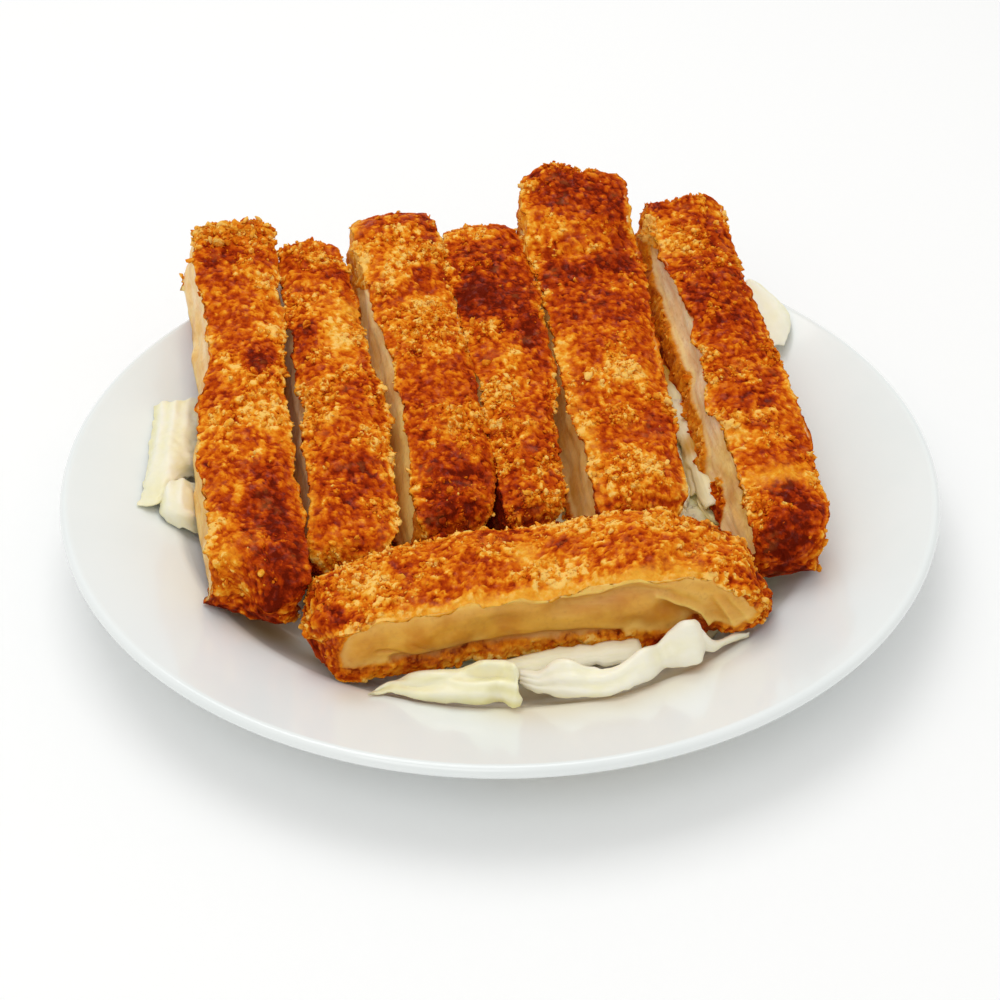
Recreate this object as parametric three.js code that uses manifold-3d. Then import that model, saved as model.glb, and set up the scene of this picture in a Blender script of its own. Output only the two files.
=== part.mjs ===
// Plated chicken katsu: a fried breaded cutlet cut into seven slices, six of them laid side by side
// up a bed of chopped cabbage and the seventh across their near ends, on a round rimmed plate.
// Millimetres, +Z up, origin at the centre of the plate's foot, +Y from the near edge to the far edge.
import * as THREE from 'three';
import Module from 'manifold-3d';
import { mergeVertices } from 'three/addons/utils/BufferGeometryUtils.js';

const wasm = await Module();
wasm.setup();

// ---- driving dimensions -------------------------------------------------------------------------

const PLATE = {
  lipRadius: 115, // half the plate's width over the lip
  lipTop: 23, // height of the lip above the table
  lipThickness: 3.4,
  wellEdgeRadius: 86, // shoulder between the well and the rim
  wellEdgeTop: 14,
  floorRadius: 68, // flat part of the well
  floorTop: 6.5,
  footOuterRadius: 64,
  footInnerRadius: 60,
  footRecess: 2, // underside inside the foot ring
  segments: 64,
};

const GAP = 0.4; // clearance kept between pieces that touch
const BED = { nearY: -30, nearTop: 14, slope: 0.145, lowest: 12 }; // the tilted top of the cabbage

// Each slice follows a route of stations: x and y of its centre line, the width of its crusted top,
// its thickness, lift, the height of its underside above the bed plane (or above the table where
// onBed is false), and slant, how far the knife's lean sets the underside over to the left of the top.
const SLICES = [
  {
    name: 'slice_1', onBed: true, seed: 11,
    stations: [
      { x: -60.4, y: -57, width: 22, thick: 17, lift: 4.4, slant: 1 },
      { x: -62.3, y: -30, width: 23.5, thick: 18.2, lift: 1.6, slant: 2.6 },
      { x: -66, y: 0, width: 22.8, thick: 19, lift: 0.2, slant: 4 },
      { x: -69, y: 35, width: 20, thick: 19, lift: 0, slant: 6 },
      { x: -76.2, y: 83, width: 22, thick: 18.6, lift: 0.4, slant: 8.5 },
    ],
  },
  {
    name: 'slice_2', onBed: true, seed: 23,
    stations: [
      { x: -37, y: -47, width: 18.5, thick: 17, lift: 2.6, slant: 2.4 },
      { x: -37.6, y: -25, width: 21, thick: 18.8, lift: 0.6, slant: 4 },
      { x: -40.6, y: 0, width: 22.6, thick: 19, lift: 0, slant: 4.2 },
      { x: -46.9, y: 33, width: 19.6, thick: 18.6, lift: 0, slant: 4.2 },
      { x: -54.2, y: 77, width: 19.6, thick: 17.6, lift: 0, slant: 4.2 },
    ],
  },
  {
    name: 'slice_3', onBed: true, seed: 37,
    stations: [
      { x: -9, y: -33, width: 18, thick: 17, lift: 0.6, slant: 8 },
      { x: -11.8, y: -14, width: 20.6, thick: 18.6, lift: 0, slant: 7.6 },
      { x: -15.6, y: 10, width: 19.6, thick: 19.2, lift: 0, slant: 7 },
      { x: -22.4, y: 40, width: 22, thick: 19.4, lift: 0, slant: 5 },
      { x: -31.8, y: 90, width: 25, thick: 19.4, lift: 1.2, slant: 4.4 },
    ],
  },
  {
    name: 'slice_4', onBed: true, seed: 41,
    stations: [
      { x: 10.8, y: -31, width: 15, thick: 17, lift: 0.6, slant: 6 },
      { x: 7.6, y: -12, width: 16.6, thick: 18.4, lift: 0, slant: 6 },
      { x: 5, y: 12, width: 20.4, thick: 18.8, lift: 0, slant: 6 },
      { x: 0.6, y: 44, width: 22.6, thick: 19, lift: 0, slant: 5 },
      { x: -7.2, y: 86, width: 23.2, thick: 18.4, lift: 0.6, slant: 4.4 },
    ],
  },
  {
    name: 'slice_5', onBed: true, seed: 53,
    stations: [
      { x: 37.4, y: -32, width: 23.6, thick: 17, lift: 0.6, slant: 5 },
      { x: 33.8, y: -8, width: 25.4, thick: 18.8, lift: 0, slant: 5 },
      { x: 29.6, y: 21, width: 26.8, thick: 19, lift: 0, slant: 5 },
      { x: 27.4, y: 48, width: 27.8, thick: 18.4, lift: 0.4, slant: 5 },
      { x: 24.6, y: 65, width: 28, thick: 16, lift: 3, slant: 5 },
      { x: 21.6, y: 78, width: 28.6, thick: 19.6, lift: 5.2, slant: 4.5 },
      { x: 20.8, y: 101, width: 28.4, thick: 19, lift: 9.4, slant: 4 },
    ],
  },
  {
    name: 'slice_6', onBed: true, seed: 67,
    stations: [
      { x: 73.6, y: -41, width: 21, thick: 17, lift: 2, slant: 4 },
      { x: 70.4, y: -15, width: 21.6, thick: 17.8, lift: 0.8, slant: 7.4 },
      { x: 67.2, y: 8, width: 22, thick: 18.6, lift: 0.2, slant: 7.2 },
      { x: 62.8, y: 36, width: 20.2, thick: 18.8, lift: 0, slant: 7 },
      { x: 57.8, y: 64, width: 20.2, thick: 18.8, lift: 0, slant: 6.2 },
      { x: 52.6, y: 96, width: 23.5, thick: 18.8, lift: 0, slant: 4.6 },
    ],
  },
  {
    name: 'slice_7', onBed: false, seed: 79,
    stations: [
      { x: -48.6, y: -67, width: 20, thick: 15.8, lift: 13.6, slant: -1 },
      { x: -30, y: -61, width: 25, thick: 18.4, lift: 12.6, slant: -1 },
      { x: -9, y: -53.8, width: 27.8, thick: 20, lift: 12.4, slant: -1 },
      { x: 12, y: -50.6, width: 27.5, thick: 19.6, lift: 12.6, slant: -1 },
      { x: 33, y: -48.4, width: 28, thick: 22.4, lift: 13, slant: -1 },
      { x: 50, y: -48.8, width: 23.5, thick: 18.6, lift: 14.2, slant: -1 },
      { x: 68, y: -53, width: 16, thick: 11.6, lift: 16.4, slant: -1 },
    ],
  },
];

const SECTION = {
  topPoints: 6, // points across the crusted top
  sidePoints: 3, // points down the exposed meat on each side
  bottomPoints: 4,
  crustDepth: 2.4, // how far the crust's edge comes down a cut side
  meatInset: 0.9, // how far the meat draws back behind the crust
  crown: 1.6, // rise of the top between its edges
  cornerDrop: 0.9,
};
// Rounded ends: their length, their rings in degrees, how blunt they are seen from above, and the
// share of the thickness at which they close.
const ENDS = { length: 11, angles: [15, 36, 62, 90], roundness: 0.6, waist: 0.45 };
const RING_STEP = 7; // spacing of the sections between the two ends
const CRAGS = { pitch: 7, top: 1.1, edge: 1.3, meat: 0.45 }; // size of the lumps, and their relief

const CABBAGE = {
  centre: [3, 3], // at the middle of the bed
  halfWidth: 66,
  halfDepth: 67,
  squareness: 2.7,
  shear: -0.12, // how the bed leans with the slices, across per unit away from the near edge
  edgeWave: 0.035, // how uneven the bed's outline is, as a share of its size
  brow: 0.68, // the share of the way out where the bed's top starts to fall to the plate
  hem: 2.4, // the bed's thickness at its outline
  shares: [0.35, 0.62, 0.76, 0.88, 1], // rings of the bed as shares of its outline
  spokes: 36,
  headRest: { x: 19, y: 70, radius: 16, rise: 5 }, // a hump under the raised end of slice_5
};
// Strips fused round the bed's slope: ranges of reach (share of the way out), length, width, turn and
// tilt from the slope (radians) and curl.
const SHREDS = {
  count: 32, steps: 4, thickness: 1.1,
  reach: [0.8, 1.03], length: [15, 30], width: [3.5, 8],
  turn: [-0.5, 0.5], tilt: [-0.35, 0.35], curl: [0.6, 1.6],
};

// Loose pieces of leaf, each a sheet stretched between two edges. cup is how far its middle bulges
// outwards, and ripple the height of its small waves.
const LEAF_THICKNESS = 1;
const LEAVES = [
  {
    name: 'leaf_front_left', steps: 12, crossSteps: 4, cup: 2, ripple: 0.35,
    low: [
      [-31, -83, 16], [-24.5, -84.6, 15.8], [-17, -85, 15.6], [-9, -85.8, 15.4], [-2, -86, 15.4],
      [3, -87.4, 15.6],
    ],
    high: [
      [-29, -81.6, 16.8], [-22.5, -79.6, 18.8], [-14, -78.4, 20.4], [-7.5, -78, 22.4], [0, -78.4, 22.6],
      [5, -81.5, 22.6],
    ],
  },
  {
    name: 'leaf_front_right', steps: 18, crossSteps: 4, cup: 1.2, ripple: 0.25,
    low: [
      [8.8, -79.6, 14], [13, -82.4, 15], [20, -83.6, 15.4], [27, -82.4, 15.4], [33, -78, 15],
      [38.5, -73.6, 14.8], [44.5, -72, 15.2], [49, -69.8, 15.2], [54, -65, 15.2], [61, -62.6, 15.6],
    ],
    high: [
      [8.4, -76.4, 18.6], [13, -77, 22], [19.6, -78.2, 21.6], [26, -76.6, 20], [32.6, -73.2, 20.8],
      [38.5, -69.4, 22.4], [44.4, -68, 25.6], [48.6, -67, 22.6], [53.6, -63.6, 16.4], [61.4, -61.4, 16],
    ],
  },
  {
    name: 'leaf_side_upper', steps: 8, crossSteps: 5, cup: 3, ripple: 0.7,
    low: [[-94.6, -8, 18.6], [-95.4, 4, 18.8], [-95.4, 17, 19.4], [-94.6, 30, 20.6]],
    high: [[-80, -6.5, 15], [-80.5, 6, 16.4], [-82, 18, 18], [-84, 31, 19.8]],
  },
  {
    name: 'leaf_side_lower', steps: 7, crossSteps: 4, cup: 2.4, ripple: 0.4,
    low: [[-76, -24, 13.2], [-83.4, -21.8, 15.2], [-89, -16.6, 17], [-91.4, -9.6, 18.2]],
    high: [[-75, -16.6, 12], [-77.6, -13.4, 13.4], [-79.6, -11, 15], [-81, -9.4, 16]],
  },
  {
    name: 'leaf_rear_right', steps: 8, crossSteps: 5, cup: 2, ripple: 0.7,
    low: [[82, 58, 20.8], [86, 65.4, 22.6], [85, 73, 24], [80.6, 80.6, 25.2], [75.4, 87, 25.6]],
    high: [[72, 54, 20], [69.4, 61, 22.4], [68, 68, 24.4], [66.4, 74, 25.4], [65.4, 79, 25.6]],
  },
];

const COLOURS = {
  plate: { color: 0xf0f0ed, roughness: 0.16, metalness: 0 },
  slice: { color: 0xb9611c, roughness: 0.62, metalness: 0 },
  cabbage: { color: 0xe2e2b4, roughness: 0.45, metalness: 0 },
  leaf: { color: 0xece9c8, roughness: 0.4, metalness: 0 },
};

// ---- small helpers ------------------------------------------------------------------------------

const DEG = Math.PI / 180;
const lerp = (a, b, t) => a + (b - a) * t;
const clamp01 = (t) => Math.min(1, Math.max(0, t));
const smoothstep = (t) => clamp01(t) ** 2 * (3 - 2 * clamp01(t));

// A whole-number hash of a lattice point, from -1 to 1.
function latticeValue(i, j, k, seed) {
  let h = Math.imul(i, 374761393) ^ Math.imul(j, 668265263) ^ Math.imul(k, 1274126177);
  h ^= Math.imul(seed, 974634777);
  h = Math.imul(h ^ (h >>> 13), 1103515245);
  h ^= h >>> 16;
  return (h >>> 0) / 2147483647.5 - 1;
}

// Smooth value noise from -1 to 1.
function noise(x, y, z, seed) {
  const [i, j, k] = [Math.floor(x), Math.floor(y), Math.floor(z)];
  const [u, v, w] = [smoothstep(x - i), smoothstep(y - j), smoothstep(z - k)];
  const corner = (a, b, c) => latticeValue(i + a, j + b, k + c, seed);
  const edge = (b, c) => lerp(corner(0, b, c), corner(1, b, c), u);
  return lerp(lerp(edge(0, 0), edge(1, 0), v), lerp(edge(0, 1), edge(1, 1), v), w);
}

// A repeatable stream of numbers from 0 to 1.
function randomStream(seed) {
  let n = 0;
  return () => (latticeValue(n++, seed, 5, 97) + 1) / 2;
}

// Catmull-Rom value of a list of numbers at t from 0 to 1.
function splineAt(values, t) {
  const last = values.length - 1;
  const s = clamp01(t) * last;
  const i = Math.min(last - 1, Math.floor(s));
  const u = s - i;
  const at = (n) => values[Math.min(last, Math.max(0, n))];
  const [a, b, c, d] = [at(i - 1), at(i), at(i + 1), at(i + 2)];
  return b + 0.5 * u * (c - a + u * (2 * a - 5 * b + 4 * c - d + u * (3 * (b - c) + d - a)));
}

function meshGeometry(points, faces) {
  const geometry = new THREE.BufferGeometry();
  geometry.setAttribute('position', new THREE.BufferAttribute(new Float32Array(points.flat()), 3));
  geometry.setIndex(faces.flat());
  return geometry;
}

// Closed rings of equal length, joined in order, with a cap point at each end.
function loftGeometry(rings, firstTip, lastTip) {
  const n = rings[0].length;
  const points = [...rings.flat(), firstTip, lastTip];
  const faces = [];
  for (let r = 0; r + 1 < rings.length; r++) {
    for (let i = 0; i < n; i++) {
      const [a, b] = [r * n + i, r * n + ((i + 1) % n)];
      faces.push([a, b + n, b], [a, a + n, b + n]);
    }
  }
  const [first, last, end] = [points.length - 2, points.length - 1, (rings.length - 1) * n];
  for (let i = 0; i < n; i++) {
    const j = (i + 1) % n;
    faces.push([first, i, j], [last, end + j, end + i]);
  }
  return meshGeometry(points, faces);
}

function solidFrom(geometry) {
  const merged = mergeVertices(geometry, 1e-4);
  return new wasm.Manifold(new wasm.Mesh({
    numProp: 3,
    vertProperties: merged.attributes.position.array,
    triVerts: new Uint32Array(merged.index.array),
  }));
}

function geometryFrom(solid) {
  const mesh = solid.getMesh();
  const geometry = new THREE.BufferGeometry();
  geometry.setAttribute('position', new THREE.BufferAttribute(mesh.vertProperties, 3));
  geometry.setIndex(new THREE.BufferAttribute(mesh.triVerts, 1));
  return geometry;
}

// ---- plate --------------------------------------------------------------------------------------

const LIP_BEAD = PLATE.lipThickness / 2; // the lip's outer edge is a half round of this radius
const RIM_END = PLATE.lipRadius - LIP_BEAD;

// Height of the plate's upper face at a radius: flat floor, curved shoulder, then a gently dished rim.
function plateTop(radius) {
  const { floorRadius, floorTop, wellEdgeRadius, wellEdgeTop, lipTop } = PLATE;
  if (radius <= wellEdgeRadius) {
    return lerp(floorTop, wellEdgeTop, smoothstep((radius - floorRadius) / (wellEdgeRadius - floorRadius)));
  }
  return lerp(wellEdgeTop, lipTop, clamp01((radius - wellEdgeRadius) / (RIM_END - wellEdgeRadius)) ** 1.1);
}

function plateGeometry() {
  const { footOuterRadius, footInnerRadius, footRecess } = PLATE;
  const topRadii = [0, 50, 68, 73, 77, 81, 86, 95, 104, RIM_END];
  const profile = topRadii.map((r) => new THREE.Vector2(r, plateTop(r)));
  const beadCentre = plateTop(RIM_END) - LIP_BEAD;
  for (const angle of [50, 10, -30, -75]) {
    const [c, s] = [Math.cos(angle * DEG), Math.sin(angle * DEG)];
    profile.push(new THREE.Vector2(RIM_END + LIP_BEAD * c, beadCentre + LIP_BEAD * s));
  }
  // The underside follows the upper face at a wall of its own thickness down to the foot ring.
  for (const [radius, wall] of [[102, 3.8], [88, 4.4], [80, 4.8], [72, 4.6]]) {
    profile.push(new THREE.Vector2(radius, plateTop(radius) - wall));
  }
  profile.push(
    new THREE.Vector2(footOuterRadius + 1.4, footRecess + 0.4),
    new THREE.Vector2(footOuterRadius, 0),
    new THREE.Vector2(footInnerRadius, 0),
    new THREE.Vector2(footInnerRadius - 1.2, footRecess),
    new THREE.Vector2(0, footRecess),
  );
  const geometry = new THREE.LatheGeometry(profile.reverse(), PLATE.segments);
  return geometry.rotateX(90 * DEG);
}

// ---- slices -------------------------------------------------------------------------------------

const bedTop = (y) => BED.nearTop + BED.slope * (y - BED.nearY);

// Centre line, width, thickness, slant and underside of a slice at t from 0 (near or left end) to 1.
function sliceAt(slice, t) {
  const read = (key) => splineAt(slice.stations.map((s) => s[key]), t);
  const [x, y] = [read('x'), read('y')];
  const bottom = read('lift') + (slice.onBed ? bedTop(y) : 0);
  return { x, y, bottom, width: read('width'), thick: read('thick'), slant: read('slant') };
}

// The cut outline of a slice as points from the right of its top round to the right of its underside,
// each with its sideways place from -0.5 to 0.5, its depth from 0 (top) to 1, and what it is cut through.
function sectionOutline(thick) {
  const { topPoints, sidePoints, bottomPoints, crustDepth, meatInset, cornerDrop } = SECTION;
  const rimDepth = (crustDepth - cornerDrop) / thick;
  const side = [{ depth: rimDepth, inset: 0, face: 'edge' }];
  for (let i = 0; i < sidePoints; i++) {
    const depth = lerp(crustDepth, thick - crustDepth, i / (sidePoints - 1)) / thick;
    side.push({ depth, inset: meatInset, face: 'meat' });
  }
  side.push({ depth: 1 - rimDepth, inset: 0.2, face: 'edge' });
  const points = [];
  for (let i = 0; i < topPoints; i++) {
    points.push({ across: 0.5 - i / (topPoints - 1), depth: 0, inset: 0, face: 'top' });
  }
  points.push(...side.map((p) => ({ across: -0.5, ...p })));
  for (let i = 0; i < bottomPoints; i++) {
    points.push({ across: -0.5 + i / (bottomPoints - 1), depth: 1, inset: 0.6, face: 'underside' });
  }
  points.push(...side.reverse().map((p) => ({ across: 0.5, ...p })));
  return points;
}

// One section of a slice at t. fullness runs from 0 at the tip of a rounded end to 1.
function sliceRing(slice, t, fullness) {
  const here = sliceAt(slice, t);
  const [before, after] = [sliceAt(slice, t - 0.01), sliceAt(slice, t + 0.01)];
  const heading = Math.atan2(after.y - before.y, after.x - before.x);
  const [sideX, sideY] = [Math.sin(heading), -Math.cos(heading)];
  const narrow = fullness ** ENDS.roundness;
  const waist = here.thick * ENDS.waist;
  return sectionOutline(here.thick).map(({ across, depth, inset, face }) => {
    const crown = SECTION.crown * (1 - (2 * across) ** 2) - SECTION.cornerDrop * (2 * across) ** 6;
    const fullHeight = (1 - depth) * here.thick + (face === 'top' ? crown : 0);
    const height = waist + (fullHeight - waist) * fullness;
    const lump = [here.x / CRAGS.pitch + 3 * across, here.y / CRAGS.pitch, 2 * depth];
    const rough = noise(...lump, slice.seed) + 0.5 * noise(...lump.map((c) => 2.1 * c), slice.seed + 1);
    // Both sides only wear inwards from the nominal width, so neighbouring slices stay clear.
    const wear = (face === 'meat' ? CRAGS.meat : CRAGS.edge) * clamp01(0.5 + 0.5 * rough);
    const reach = Math.max(0, (here.width / 2 - inset) * narrow - wear * narrow);
    const sideways = 2 * across * reach - here.slant * (1 - height / here.thick);
    const x = here.x + sideX * sideways;
    const y = here.y + sideY * sideways;
    const z = here.bottom + height + (face === 'top' ? CRAGS.top * rough * fullness : 0);
    return [x, y, Math.max(z, plateTop(Math.hypot(x, y)) + GAP)];
  });
}

function sliceGeometry(slice) {
  const route = new THREE.CatmullRomCurve3(slice.stations.map((s) => new THREE.Vector3(s.x, s.y, 0)));
  const endT = ENDS.length / route.getLength();
  const middleCount = Math.round((1 - 2 * endT) * route.getLength() / RING_STEP);
  const ends = ENDS.angles.map((a) => ({ t: endT * (1 - Math.cos(a * DEG)), fullness: Math.sin(a * DEG) }));
  const rings = ends.map(({ t, fullness }) => sliceRing(slice, t, fullness));
  for (let i = 1; i < middleCount; i++) {
    rings.push(sliceRing(slice, lerp(endT, 1 - endT, i / middleCount), 1));
  }
  for (const { t, fullness } of ends.reverse()) rings.push(sliceRing(slice, 1 - t, fullness));
  const tip = (t) => sliceRing(slice, t, 0)[0];
  return loftGeometry(rings, tip(0), tip(1));
}

// ---- cabbage ------------------------------------------------------------------------------------

// A point of the bed's plan at a share of the way out from its middle, in a direction.
function bedPlace(share, angle) {
  const { centre, halfWidth, halfDepth, squareness, shear, edgeWave } = CABBAGE;
  const wave = 1 + edgeWave * (Math.sin(5 * angle + 0.7) + 0.8 * Math.sin(11 * angle + 2));
  const axis = (c) => Math.sign(c) * Math.abs(c) ** (2 / squareness) * share * wave;
  const away = halfDepth * axis(Math.sin(angle));
  return [centre[0] + halfWidth * axis(Math.cos(angle)) + shear * away, centre[1] + away];
}

const bedUnderside = (x, y) => plateTop(Math.hypot(x, y)) + 2 * GAP;

// Height of the bed's upper face: level with the underside of the slices, then down to the plate.
function bedHeight(x, y, share) {
  const { headRest, brow, hem } = CABBAGE;
  const hump = headRest.rise * smoothstep(1.6 - Math.hypot(x - headRest.x, y - headRest.y) / headRest.radius);
  const full = Math.max(bedTop(y), BED.lowest) - GAP + hump;
  const edge = bedUnderside(x, y) + hem;
  return lerp(Math.max(full, edge), edge, smoothstep((share - brow) / (1 - brow)));
}

// The bed's core: a closed pad from the plate's upper face to just under the slices.
function cabbageCore() {
  const { centre, shares, spokes } = CABBAGE;
  const layer = (heightAt) => {
    const points = shares.flatMap((share) => Array.from({ length: spokes }, (_, s) => {
      const [x, y] = bedPlace(share, (s / spokes) * 2 * Math.PI);
      return [x, y, heightAt(x, y, share)];
    }));
    return [...points, [...centre, heightAt(...centre, 0)]];
  };
  const [top, bottom] = [layer(bedHeight), layer(bedUnderside)];
  const count = top.length;
  const faces = [];
  for (let s = 0; s < spokes; s++) {
    const next = (s + 1) % spokes;
    faces.push([count - 1, s, next], [2 * count - 1, count + next, count + s]);
    for (let r = 0; r + 1 < shares.length; r++) {
      const [a, b, c, d] = [r * spokes + s, (r + 1) * spokes + s, (r + 1) * spokes + next, r * spokes + next];
      faces.push([a, b, c], [a, c, d], [count + c, count + b, count + a], [count + d, count + c, count + a]);
    }
    const [o, p] = [(shares.length - 1) * spokes + s, (shares.length - 1) * spokes + next];
    faces.push([o, count + o, count + p], [o, count + p, p]);
  }
  return solidFrom(meshGeometry([...top, ...bottom], faces));
}

// A thin closed sheet: the same grid of points above and below a mid-surface, with walls round its edge.
function sheetGeometry(mid, thickness) {
  const [rows, columns] = [mid.length, mid[0].length];
  const within = (n, size) => Math.min(size - 1, Math.max(0, n));
  const at = (i, j) => new THREE.Vector3(...mid[within(i, rows)][within(j, columns)]);
  const faceOf = (sign) => mid.flatMap((row, i) => row.map((_, j) => {
    const along = at(i + 1, j).sub(at(i - 1, j));
    const across = at(i, j + 1).sub(at(i, j - 1));
    const normal = along.cross(across).normalize().multiplyScalar((sign * thickness) / 2);
    return at(i, j).add(normal).toArray();
  }));
  const count = rows * columns;
  const index = (i, j) => i * columns + j;
  const faces = [];
  for (let i = 0; i + 1 < rows; i++) {
    for (let j = 0; j + 1 < columns; j++) {
      const [a, b, c, d] = [index(i, j), index(i + 1, j), index(i + 1, j + 1), index(i, j + 1)];
      faces.push([a, b, c], [a, c, d], [count + c, count + b, count + a], [count + d, count + c, count + a]);
    }
  }
  const edge = [];
  for (let j = 0; j < columns; j++) edge.push(index(0, j));
  for (let i = 1; i < rows; i++) edge.push(index(i, columns - 1));
  for (let j = columns - 2; j >= 0; j--) edge.push(index(rows - 1, j));
  for (let i = rows - 2; i >= 1; i--) edge.push(index(i, 0));
  edge.forEach((a, n) => {
    const b = edge[(n + 1) % edge.length];
    faces.push([a, b, count + b], [a, count + b, count + a]);
  });
  return meshGeometry([...faceOf(1), ...faceOf(-1)], faces);
}

// A strip of cabbage through a centre, along a heading, leaning about it and curling along its length.
function shredSheet(centre, heading, length, width, lean, curl) {
  const { steps, thickness } = SHREDS;
  const [alongX, alongY] = [Math.cos(heading), Math.sin(heading)];
  const mid = [];
  for (let i = 0; i <= steps; i++) {
    const along = (i / steps - 0.5) * length;
    mid.push([-0.5, 0, 0.5].map((place) => {
      const across = place * width * (1 - 0.35 * Math.abs((2 * i) / steps - 1) ** 3);
      const x = centre[0] + along * alongX - across * Math.cos(lean) * alongY;
      const y = centre[1] + along * alongY + across * Math.cos(lean) * alongX;
      const z = centre[2] + across * Math.sin(lean) + curl * Math.cos((i / steps) * 5 + centre[0]);
      return [x, y, Math.max(z, plateTop(Math.hypot(x, y)) + GAP + thickness * 0.7)];
    }));
  }
  return sheetGeometry(mid, thickness);
}

// Chopped strips spread evenly round the slope of the bed, lying along it and fused to its core.
function cabbageGeometry(keepClear) {
  const random = randomStream(404);
  let bed = cabbageCore();
  for (let n = 0; n < SHREDS.count; n++) {
    const angle = ((n + 0.3 * random()) / SHREDS.count) * 2 * Math.PI;
    const share = lerp(...SHREDS.reach, random());
    const [x, y] = bedPlace(share, angle);
    const [inner, outer] = [bedPlace(share - 0.1, angle), bedPlace(share + 0.02, angle)];
    const fall = bedHeight(...inner, share - 0.1) - bedHeight(...outer, share + 0.02);
    const slope = Math.atan2(fall, Math.hypot(inner[0] - outer[0], inner[1] - outer[1]));
    const centre = [x, y, bedHeight(x, y, share) + SHREDS.thickness * 0.5 * random()];
    const draw = (range) => lerp(...range, random());
    const heading = angle + 90 * DEG + draw(SHREDS.turn);
    const [length, width, lean] = [draw(SHREDS.length), draw(SHREDS.width), slope + draw(SHREDS.tilt)];
    const piece = solidFrom(shredSheet(centre, heading, length, width, lean, draw(SHREDS.curl)));
    const clashes = keepClear.some((other) => other.intersect(piece).volume() > 0);
    if (!clashes && bed.intersect(piece).volume() > 2) bed = bed.add(piece);
  }
  // Where pieces close over a pocket, the bed is its outer surface with the pocket filled.
  return geometryFrom(bed.decompose().reduce((most, body) => (body.volume() > most.volume() ? body : most)));
}

// ---- leaves -------------------------------------------------------------------------------------

// A single wavy piece of leaf stretched between its low and its high edge.
function leafGeometry({ low, high, steps, crossSteps, cup, ripple }) {
  const along = (points, t, axis) => splineAt(points.map((p) => p[axis]), t);
  const rail = (points, t) => new THREE.Vector3(...[0, 1, 2].map((axis) => along(points, t, axis)));
  const mid = [];
  for (let i = 0; i <= steps; i++) {
    const t = i / steps;
    const [from, to] = [rail(low, t), rail(high, t)];
    const ahead = rail(low, t + 0.02).sub(rail(low, t - 0.02));
    const outward = ahead.cross(to.clone().sub(from)).normalize();
    const row = [];
    for (let j = 0; j <= crossSteps; j++) {
      const v = j / crossSteps;
      const bulge = -cup * 4 * v * (1 - v) + ripple * Math.sin(19 * t + 4 * v) * Math.sin(11 * t - 3 * v);
      const point = new THREE.Vector3().lerpVectors(from, to, v).addScaledVector(outward, bulge);
      const lowest = plateTop(Math.hypot(point.x, point.y)) + GAP + LEAF_THICKNESS * 0.65;
      row.push([point.x, point.y, Math.max(point.z, lowest)]);
    }
    mid.push(row);
  }
  return sheetGeometry(mid, LEAF_THICKNESS);
}

// ---- the plated dish ----------------------------------------------------------------------------

const dish = new THREE.Group();

function place(name, geometry, look) {
  const mesh = new THREE.Mesh(geometry, new THREE.MeshStandardMaterial(look));
  mesh.name = name;
  dish.add(mesh);
  return mesh;
}

place('plate', plateGeometry(), COLOURS.plate);
const laidPieces = [];
for (const slice of SLICES) {
  laidPieces.push(solidFrom(place(slice.name, sliceGeometry(slice), COLOURS.slice).geometry));
}
for (const leaf of LEAVES) {
  laidPieces.push(solidFrom(place(leaf.name, leafGeometry(leaf), COLOURS.leaf).geometry));
}
place('cabbage_bed', cabbageGeometry(laidPieces), COLOURS.cabbage);

export default dish;
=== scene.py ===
"""A fried chicken cutlet in seven slices on chopped cabbage, on a rimmed plate.

All sizes are in millimetres, in the plate's own frame: the origin at the centre of its foot, +Z up and
+Y from the near edge to the far edge. Meshes become metres when they are handed to Blender.
"""

import logging
import math
from dataclasses import dataclass, field
from enum import Enum

import bmesh
import bpy
import numpy as np
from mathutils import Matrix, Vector
from numpy.typing import NDArray


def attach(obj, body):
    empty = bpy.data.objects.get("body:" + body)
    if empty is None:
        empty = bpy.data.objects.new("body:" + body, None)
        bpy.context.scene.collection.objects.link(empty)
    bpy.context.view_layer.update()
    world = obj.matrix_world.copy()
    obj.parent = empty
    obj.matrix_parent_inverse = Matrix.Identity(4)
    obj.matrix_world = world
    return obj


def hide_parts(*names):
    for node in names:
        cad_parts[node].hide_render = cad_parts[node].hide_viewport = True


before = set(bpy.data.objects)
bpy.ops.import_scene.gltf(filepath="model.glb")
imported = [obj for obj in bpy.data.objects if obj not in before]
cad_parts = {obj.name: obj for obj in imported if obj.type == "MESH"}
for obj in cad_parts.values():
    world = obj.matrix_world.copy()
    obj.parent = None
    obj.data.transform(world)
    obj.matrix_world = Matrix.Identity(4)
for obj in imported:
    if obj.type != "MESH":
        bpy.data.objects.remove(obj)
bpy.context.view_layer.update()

Array = NDArray[np.float64]
Indices = NDArray[np.int64]
Words = NDArray[np.uint32]
Number = Array | float
Pair = tuple[float, float]
Spot = tuple[float, float, float]  # a place, x, y and z
Tint = tuple[int, int, int]  # a colour as a screen shows it, 0 to 255
Layers = dict[str, Array]  # named numbers or vectors of a mesh's points
Random = np.random.Generator
Node = bpy.types.Node
Socket = bpy.types.NodeSocket
Settings = dict[str, object]
Sockets = dict[str | int, object]
Material = bpy.types.Material
Piece = bpy.types.Object
LOG = logging.getLogger("katsu_plate")
MM = 0.001
GAP = 0.4  # clearance between pieces that touch
SUMMIT = 59.9  # no crumb stands higher than this
BODY = "root"
GOLDEN_SHARE = 0.6180339  # of a turn, which spreads places evenly round a circle
AXIS_FACTORS = (374761393, 668265263, 1274126177)  # odd factors that scramble a lattice cell
SEED_FACTOR, MIX_FACTOR = 974634777, 1103515245
WORD = 0xFFFFFFFF  # all bits of a 32-bit number


# ---- numbers ----


def lerp(a: Number, b: Number, t: Number) -> Number:
    """Value between a and b at t from 0 to 1."""
    return a + (b - a) * t


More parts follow.
